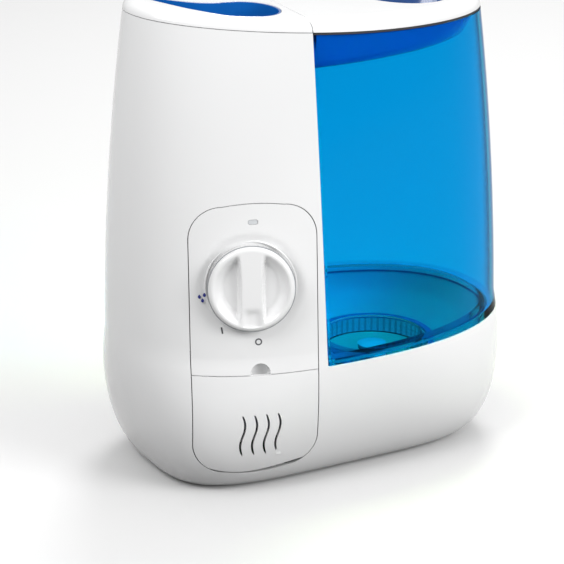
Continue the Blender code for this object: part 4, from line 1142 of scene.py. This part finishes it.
def build_outlet():
    """Blue dish that lifts out of the tower's lid."""
    dish = prism(teardrop(0.3), above_seam(-OUTLET_DEPTH - 2.0), above_seam(LID_RISE + 4.0))
    cap = lid_form(0.0, 0.0)
    cap.data.transform(Matrix.Translation((0, 0, -0.3 * MM)))
    skirt = loft([at_seam(4.0, -20.0), at_seam(4.0, 2.0)])
    keep(dish, add(skirt, cap))
    hollow = [prism(teardrop(1.6 + inward), above_seam(-OUTLET_DEPTH + floor), above_seam(LID_RISE + 8.0))
              for inward, floor in ((0.0, 1.5), (0.5, 0.5), (1.5, 0.0))]
    cut(dish, *hollow)
    x, y = MIST_AT
    radius = sizes().outlet_radius / MM
    cut(dish, cylinder(radius, 260.0, 300.0, at(x, y), 48))
    lip = turned([(radius, 0.0), (radius + 1.4, 0.0), (radius + 1.4, 1.2), (radius + 0.9, 1.7), (radius, 1.7)],
                 at(x, y, seam(x) - OUTLET_DEPTH - 0.3), 48)
    add(dish, lip)
    settle(dish, "mist_dish", "deep_blue", "outlet", "mist_outlet")


def oval(centre, half, count=96):
    return [(centre[0] + half[0] * math.cos(math.tau * k / count),
             centre[1] + half[1] * math.sin(math.tau * k / count)) for k in range(count)]


def build_tank_lid():
    lid = keep(lid_form(0.0, 0.0), right_of(BAY_X + 0.5))
    cut(lid, keep(lid_form(LID_WALL, LID_WALL), right_of(BAY_X + 2.7)))
    cut(lid, prism(oval(OPENING_AT, OPENING_HALF), 250.0, 330.0))
    settle(lid, "tank_top", "white_gloss", "tank", "tank_lid")
    seal = loft([at_seam(0.3, -1.05), at_seam(0.3, 0.2)])
    keep(seal, right_of(TANK_X + 0.2))
    hole = loft([at_seam(2.9, -5.0), at_seam(2.9, 5.0)])
    cut(seal, keep(hole, right_of(TANK_X + 2.8)))
    settle(seal, "top_seal", "black_rubber", "tank", "lid_gasket")


def build_tank():
    shell = keep(body_loft(0.0, TANK_SEAT, 310.0, AROUND, 6.0), right_of(TANK_X))
    cut(shell, over_seam(-1.3))
    lower_rings = ((TANK_FLOOR, 13.0), (61.0, 11.2), (63.0, 9.4), (66.0, SKIRT_IN + 0.6), (70.0, SKIRT_IN),
                   (TANK_SEAT + 1.0, SKIRT_IN))
    skirt = loft(rings_at(lower_rings))
    add(shell, keep(skirt, right_of(TANK_X + 6.6)))
    add(shell, cylinder(NECK_RADIUS, CAP_FOOT + 4.0, TANK_FLOOR + 1.0, at(*TANK_AT), 96))
    for level in (CAP_FOOT + 5.5, CAP_FOOT + 8.5):
        thread = [(NECK_RADIUS - 1.0, level), (NECK_RADIUS + 0.6, level + 0.4), (NECK_RADIUS + 0.6, level + 0.9),
                  (NECK_RADIUS - 1.0, level + 1.3)]
        add(shell, turned(thread, at(*TANK_AT), 96))
    upper = keep(body_loft(TANK_WALL, TANK_SEAT + 3.0, 330.0, AROUND, 6.0), right_of(TANK_X + TANK_WALL))
    inner_rings = ((TANK_FLOOR + 2.5, 15.0), (63.5, 13.4), (65.5, 11.6), (69.0, SKIRT_IN + 2.6),
                   (TANK_SEAT + 4.0, SKIRT_IN + 2.6))
    lower = keep(loft(rings_at(inner_rings)), right_of(TANK_X + 9.2))
    neck = cylinder(NECK_RADIUS - 2.6, 40.0, TANK_FLOOR + 4.0, at(*TANK_AT), 96)
    cut(shell, upper, lower, neck)
    settle(shell, "tank_wall", "tank_blue", "tank", "tank_shell", exact=True)


def build_grip_well():
    outer = ((WELL_Z, 16.5), (WELL_Z + 0.5, 14.4), (WELL_Z + 2.0, 12.2), (WELL_Z + 6.0, 9.5))
    inner = ((WELL_Z + 2.2, 17.6), (WELL_Z + 2.8, 15.6), (WELL_Z + 4.0, 14.0), (WELL_Z + 7.4, 11.7))
    well = loft(rings_at(outer) + [at_seam(3.2, -1.3)])
    keep(well, right_of(TANK_X + TANK_WALL + 0.4))
    hollow = loft(rings_at(inner) + [at_seam(5.4, 4.0)])
    cut(well, keep(hollow, right_of(TANK_X + TANK_WALL + 2.6)))
    settle(well, "grip_bowl", "deep_blue", "tank", "grip_well")


def build_cap():
    place = at(*TANK_AT)
    foot, top, inner = CAP_FOOT, TANK_FLOOR - 1.5, NECK_RADIUS + 1.0
    cap = turned([(0, foot), (CAP_RADIUS - 1.6, foot), (CAP_RADIUS - 0.5, foot + 0.5), (CAP_RADIUS, foot + 1.6),
                  (CAP_RADIUS, top - 0.5), (CAP_RADIUS - 0.5, top), (inner, top), (inner, foot + 2.5),
                  (0, foot + 2.5)], place, 120)
    cut(cap, cylinder(2.9, foot - 3.0, foot + 6.0, place, 32))
    for k in range(6):
        cut(cap, cylinder(1.8, foot - 3.0, foot + 6.0, place @ at(*polar(6.0, math.tau * k / 6)), 20))
    ribs = grown(ring_tree(), [(*TANK_AT, (foot + top) / 2)], "ribs", {
        "Count": sizes().cap_ribs, "Radius": CAP_RADIUS * MM, "Size": (0.0005, 0.0014, 0.009), "Pitch": 0.0,
        "Finish": FINISH["cap_blue"]}, attribute=("aim", [(0.0, 0.0, 1.0)]))
    settle(merge(cap, ribs), "cap_body", "cap_blue", "cap", "tank_cap", slot="tank_blue")


# ---- the packed nodes that stay ----

KEPT = {
    "inner_white": ("bottom_plate", "mist_chimney", "air_duct", "float_guide", "scent_pad_holder",
        "door_hinge_bracket_1", "door_hinge_bracket_2", "water_float"),
    "seal_blue": ("basin_gasket", "cap_gasket", "valve_plunger"),
    "brass": ("transducer_disc",),
    "black_rubber": ("transducer_seal", "power_inlet", "valve_washer"),
    "aluminium": ("transducer_retainer", "heat_sink"),
    "board_green": ("driver_board", "power_board"),
    "steel": ("transformer", "fan_motor", "door_hinge_rod", "float_magnet", "valve_spring"),
    "grey_plastic": ("rotary_switch", "fan_frame", "knob_shaft"),
    "smoke_lens": ("reed_switch",),
    "felt": ("scent_pad",),
}


def finish_kept():
    for finish, nodes in KEPT.items():
        for node in nodes:
            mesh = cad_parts[node].data
            mesh.materials.clear()
            mesh.materials.append(FINISH[finish])


# ---- studio ----

def area_light(name, place, aim, size, power, colour=(1.0, 1.0, 1.0)):
    data = bpy.data.lights.new(name, "AREA")
    data.shape = "RECTANGLE"
    data.size, data.size_y = size
    data.energy = power
    data.color = colour
    made = linked(name, data)
    made.location = place
    made.rotation_euler = (Vector(aim) - Vector(place)).to_track_quat("-Z", "Y").to_euler()
    return made


def build_stage():
    settings = studio()
    scene = bpy.context.scene
    scene.view_settings.view_transform = "Standard"
    world = bpy.data.worlds.new("surround")
    world.use_nodes = True
    sky = world.node_tree.nodes["Background"]
    sky.inputs["Color"].default_value = (1.0, 1.0, 1.0, 1.0)
    sky.inputs["Strength"].default_value = settings.sky
    scene.world = world
    ground, tree, shader = new_finish("floor_paper", (0.93, 0.93, 0.93), 0.7)
    bounce = placed(tree, "ShaderNodeLightPath")
    tree.links.new(blend_colours(tree, bounce.outputs["Is Diffuse Ray"], FLOOR_SEEN, FLOOR_BOUNCE),
                   shader.inputs["Base Color"])
    floor = block((-6000.0, -6000.0, -30.0), (6000.0, 6000.0, 0.0))
    floor.name = "floor"
    floor.data.materials.append(ground)
    area_light("key", (0.95, -1.65, 1.0), (0.0, 0.0, 0.15), (1.1, 1.0), settings.key)
    area_light("strip", (-1.25, -0.6, 1.2), (-0.1, 0.0, 0.3), (0.5, 0.5), settings.strip)
    side = area_light("top_left", (-0.6, -0.22, 0.68), (-0.12, 0.0, 0.27), (0.35, 0.35), settings.side)
    side.visible_camera = False
    area_light("back", (0.75, 0.95, 1.5), (0.0, 0.0, 0.0), (0.7, 0.7), settings.back)
    fill = area_light("tank_fill", (0.045, 0.0, 0.25), (0.045, 0.0, 0.0), (0.12, 0.1), settings.fill,
                      (1.0, 0.95, 0.5))
    fill.visible_camera = fill.visible_transmission = fill.visible_glossy = False
    data = bpy.data.cameras.new("camera")
    data.sensor_width = 36.0
    data.lens = settings.lens
    camera = linked("camera", data)
    right, up = Vector(CAMERA_RIGHT), Vector(CAMERA_UP)
    turn = Matrix((right, up, right.cross(up))).transposed()
    camera.location = CAMERA_AT
    camera.rotation_euler = turn.to_euler()
    scene.camera = camera


# ---- operators and panel ----

STEPS = (
    ("stage", "Stage", "Floor, lights and camera", build_stage),
    ("finishes", "Finishes", "The materials of every piece", make_finishes),
    ("housing", "Housing", "White shell of the base and tower", build_housing),
    ("basin", "Basin", "Water basin and mist chamber", build_tray),
    ("panel", "Front panel", "Panel, lens, collar, notch and dial marks", build_panel),
    ("knob", "Knob", "Rotary knob with its grip bar", build_knob),
    ("door", "Scent door", "Door with its wavy slots and hinge lugs", build_door),
    ("grille", "Air intake", "Louvre over the fan", build_grille),
    ("studs", "Feet and screws", "Feet and screw heads", build_studs),
    ("impeller", "Fan wheel", "Hub and blades of the fan", build_impeller),
    ("tower_lid", "Tower lid", "Domed lid of the tower", build_tower_lid),
    ("outlet", "Mist outlet", "Blue dish the mist leaves by", build_outlet),
    ("tank_lid", "Tank lid", "Domed lid and seal of the tank", build_tank_lid),
    ("tank", "Tank", "Clear blue tank with its neck", build_tank),
    ("grip_well", "Grip well", "Bowl under the tank's lid", build_grip_well),
    ("cap", "Tank cap", "Cap with its grip ribs", build_cap),
    ("kept", "Inner pieces", "Finishes of the packed pieces that stay", finish_kept),
)


def operator_for(key, label, note, action):
    def execute(self, context):
        action()
        return {"FINISHED"}
    return type("HUMIDIFIER_OT_" + key, (bpy.types.Operator,), {
        "bl_idname": "humidifier." + key, "bl_label": label, "__doc__": note, "execute": execute})


OPERATORS = [operator_for(*step) for step in STEPS]


class HUMIDIFIER_PT_pieces(bpy.types.Panel):
    """Lists the settings and one button for each piece."""

    bl_idname = "HUMIDIFIER_PT_pieces"
    bl_label = "Humidifier"
    bl_space_type = "VIEW_3D"
    bl_region_type = "UI"
    bl_category = "Humidifier"

    def draw(self, context):
        for group in (context.scene.humidifier_sizes, context.scene.humidifier_colours,
                      context.scene.humidifier_studio):
            for name in type(group).__annotations__:
                self.layout.prop(group, name)
        for key, label, _, _ in STEPS:
            self.layout.operator("humidifier." + key, text=label)


CLASSES = (HumidifierSizes, HumidifierColours, HumidifierStudio, *OPERATORS, HUMIDIFIER_PT_pieces)


def register():
    for item in CLASSES:
        bpy.utils.register_class(item)
    bpy.types.Scene.humidifier_sizes = bpy.props.PointerProperty(type=HumidifierSizes)
    bpy.types.Scene.humidifier_colours = bpy.props.PointerProperty(type=HumidifierColours)
    bpy.types.Scene.humidifier_studio = bpy.props.PointerProperty(type=HumidifierStudio)


def unregister():
    del bpy.types.Scene.humidifier_studio
    del bpy.types.Scene.humidifier_colours
    del bpy.types.Scene.humidifier_sizes
    for item in reversed(CLASSES):
        bpy.utils.unregister_class(item)


def main():
    register()
    for key, _, _, _ in STEPS:
        getattr(bpy.ops.humidifier, key)()


if __name__ == "__main__":
    main()
